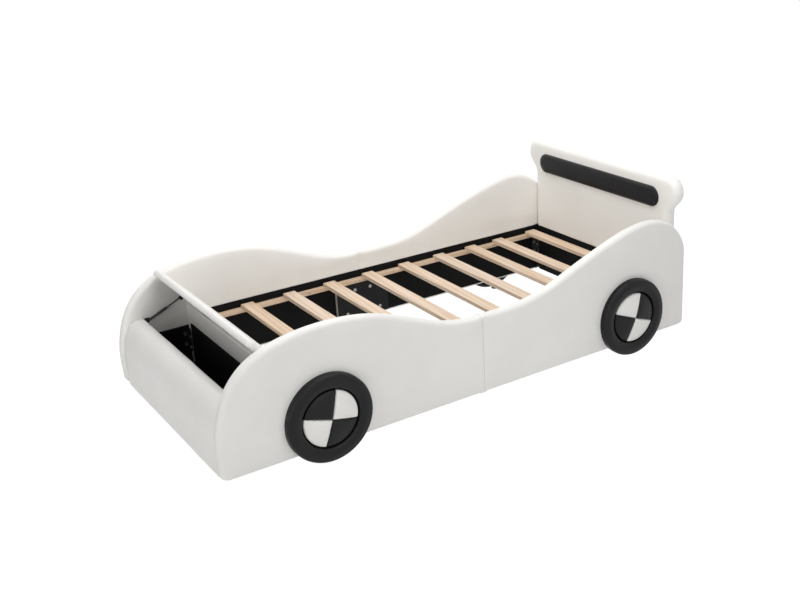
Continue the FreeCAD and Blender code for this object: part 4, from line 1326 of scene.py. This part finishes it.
@dataclass
class Lamp:
    """One soft area lamp."""

    name: str
    place: tuple[float, float, float]
    aim: tuple[float, float, float]
    size: tuple[float, float]
    power: float

    def build(self) -> None:
        """Hangs the lamp and aims it."""
        data = bpy.data.lights.new(self.name, "AREA")
        data.shape = "RECTANGLE"
        data.size, data.size_y = self.size
        data.energy = self.power
        lamp = linked(self.name, data)
        lamp.location = self.place
        lamp.rotation_mode = "QUATERNION"
        lamp.rotation_quaternion = (Vector(self.aim) - Vector(self.place)).to_track_quat("-Z", "Y")


@dataclass
class Studio:
    """A white room: a floor that keeps a faint shadow, a pale world and soft lamps."""

    world_strength: float = 0.2
    shadow_share: float = 0.14
    floor_glow: float = 1.14
    floor_colour: tuple = (0.86, 0.86, 0.86, 1)
    floor_half: float = 30.0
    lamps: list[Lamp] = field(default_factory=lambda: [
        Lamp("top", (0.3, 0.0, 3.6), (0, 0, 0.3), (3.0, 4.0), 98.0),
        Lamp("near_side", (5.0, -1.0, 2.2), (0, 0, 0.3), (3.0, 3.0), 50.0),
        Lamp("nose_side", (1.8, -5.5, 1.5), (0, 0, 0.3), (3.0, 3.0), 58.0),
        Lamp("nose_corner", (-3.0, -4.0, 2.8), (0, 0, 0.3), (2.5, 2.5), 6.0),
        Lamp("high_side", (3.2, 1.5, 4.0), (0, 0, 0.3), (3.0, 3.0), 10.0),
        Lamp("far_side", (-4.0, 0.5, 3.2), (0, 0, 0.3), (3.0, 3.0), 40.0),
        Lamp("headboard_side", (0.5, 5.0, 3.0), (0, 0.5, 0.4), (3.0, 2.0), 16.0),
    ])

    def build(self) -> None:
        """Makes the world, the floor and the lamps."""
        world = bpy.data.worlds.new("pale_world")
        bpy.context.scene.world = world
        nodes = Nodes(world)
        light = nodes.add("ShaderNodeBackground", {"Color": WHITE, "Strength": self.world_strength})
        shown = nodes.add("ShaderNodeBackground", {"Color": WHITE})
        nodes.blend("ShaderNodeOutputWorld", nodes.shows_white(), light, shown)
        self.build_floor()
        for lamp in self.lamps:
            lamp.build()
        bpy.context.scene.view_settings.view_transform = "Standard"

    def build_floor(self) -> None:
        """Makes the floor, which glows white to the camera apart from its share of shadow."""
        half = self.floor_half
        mesh = bpy.data.meshes.new("floor")
        corners = [(-half, -half, 0), (half, -half, 0), (half, half, 0), (-half, half, 0)]
        mesh.from_pydata(corners, [], [(0, 1, 2, 3)])
        floor = linked("floor", mesh)
        material = bpy.data.materials.new("white_floor")
        nodes = Nodes(material)
        share = nodes.reckon("MULTIPLY", nodes.shows_white(), 1 - self.shadow_share)
        matt = nodes.add("ShaderNodeBsdfDiffuse", {"Color": self.floor_colour})
        glow = nodes.add("ShaderNodeEmission", {"Strength": self.floor_glow})
        nodes.blend("ShaderNodeOutputMaterial", share, matt, glow)
        mesh.materials.append(material)


def main() -> None:
    """Builds the camera, the studio and every piece in order."""
    logging.basicConfig(level=logging.INFO, format="%(message)s")
    PhotoCamera().build()
    Studio().build()
    finishes = Finishes()
    finishes.dress_frame()
    for part in (SidePanels, NosePanel, Partition, Lid, Headboard, Wheels, Slats):
        part(finishes).build()
        log.info("built %s", part.__name__)


if __name__ == "__main__":
    main()
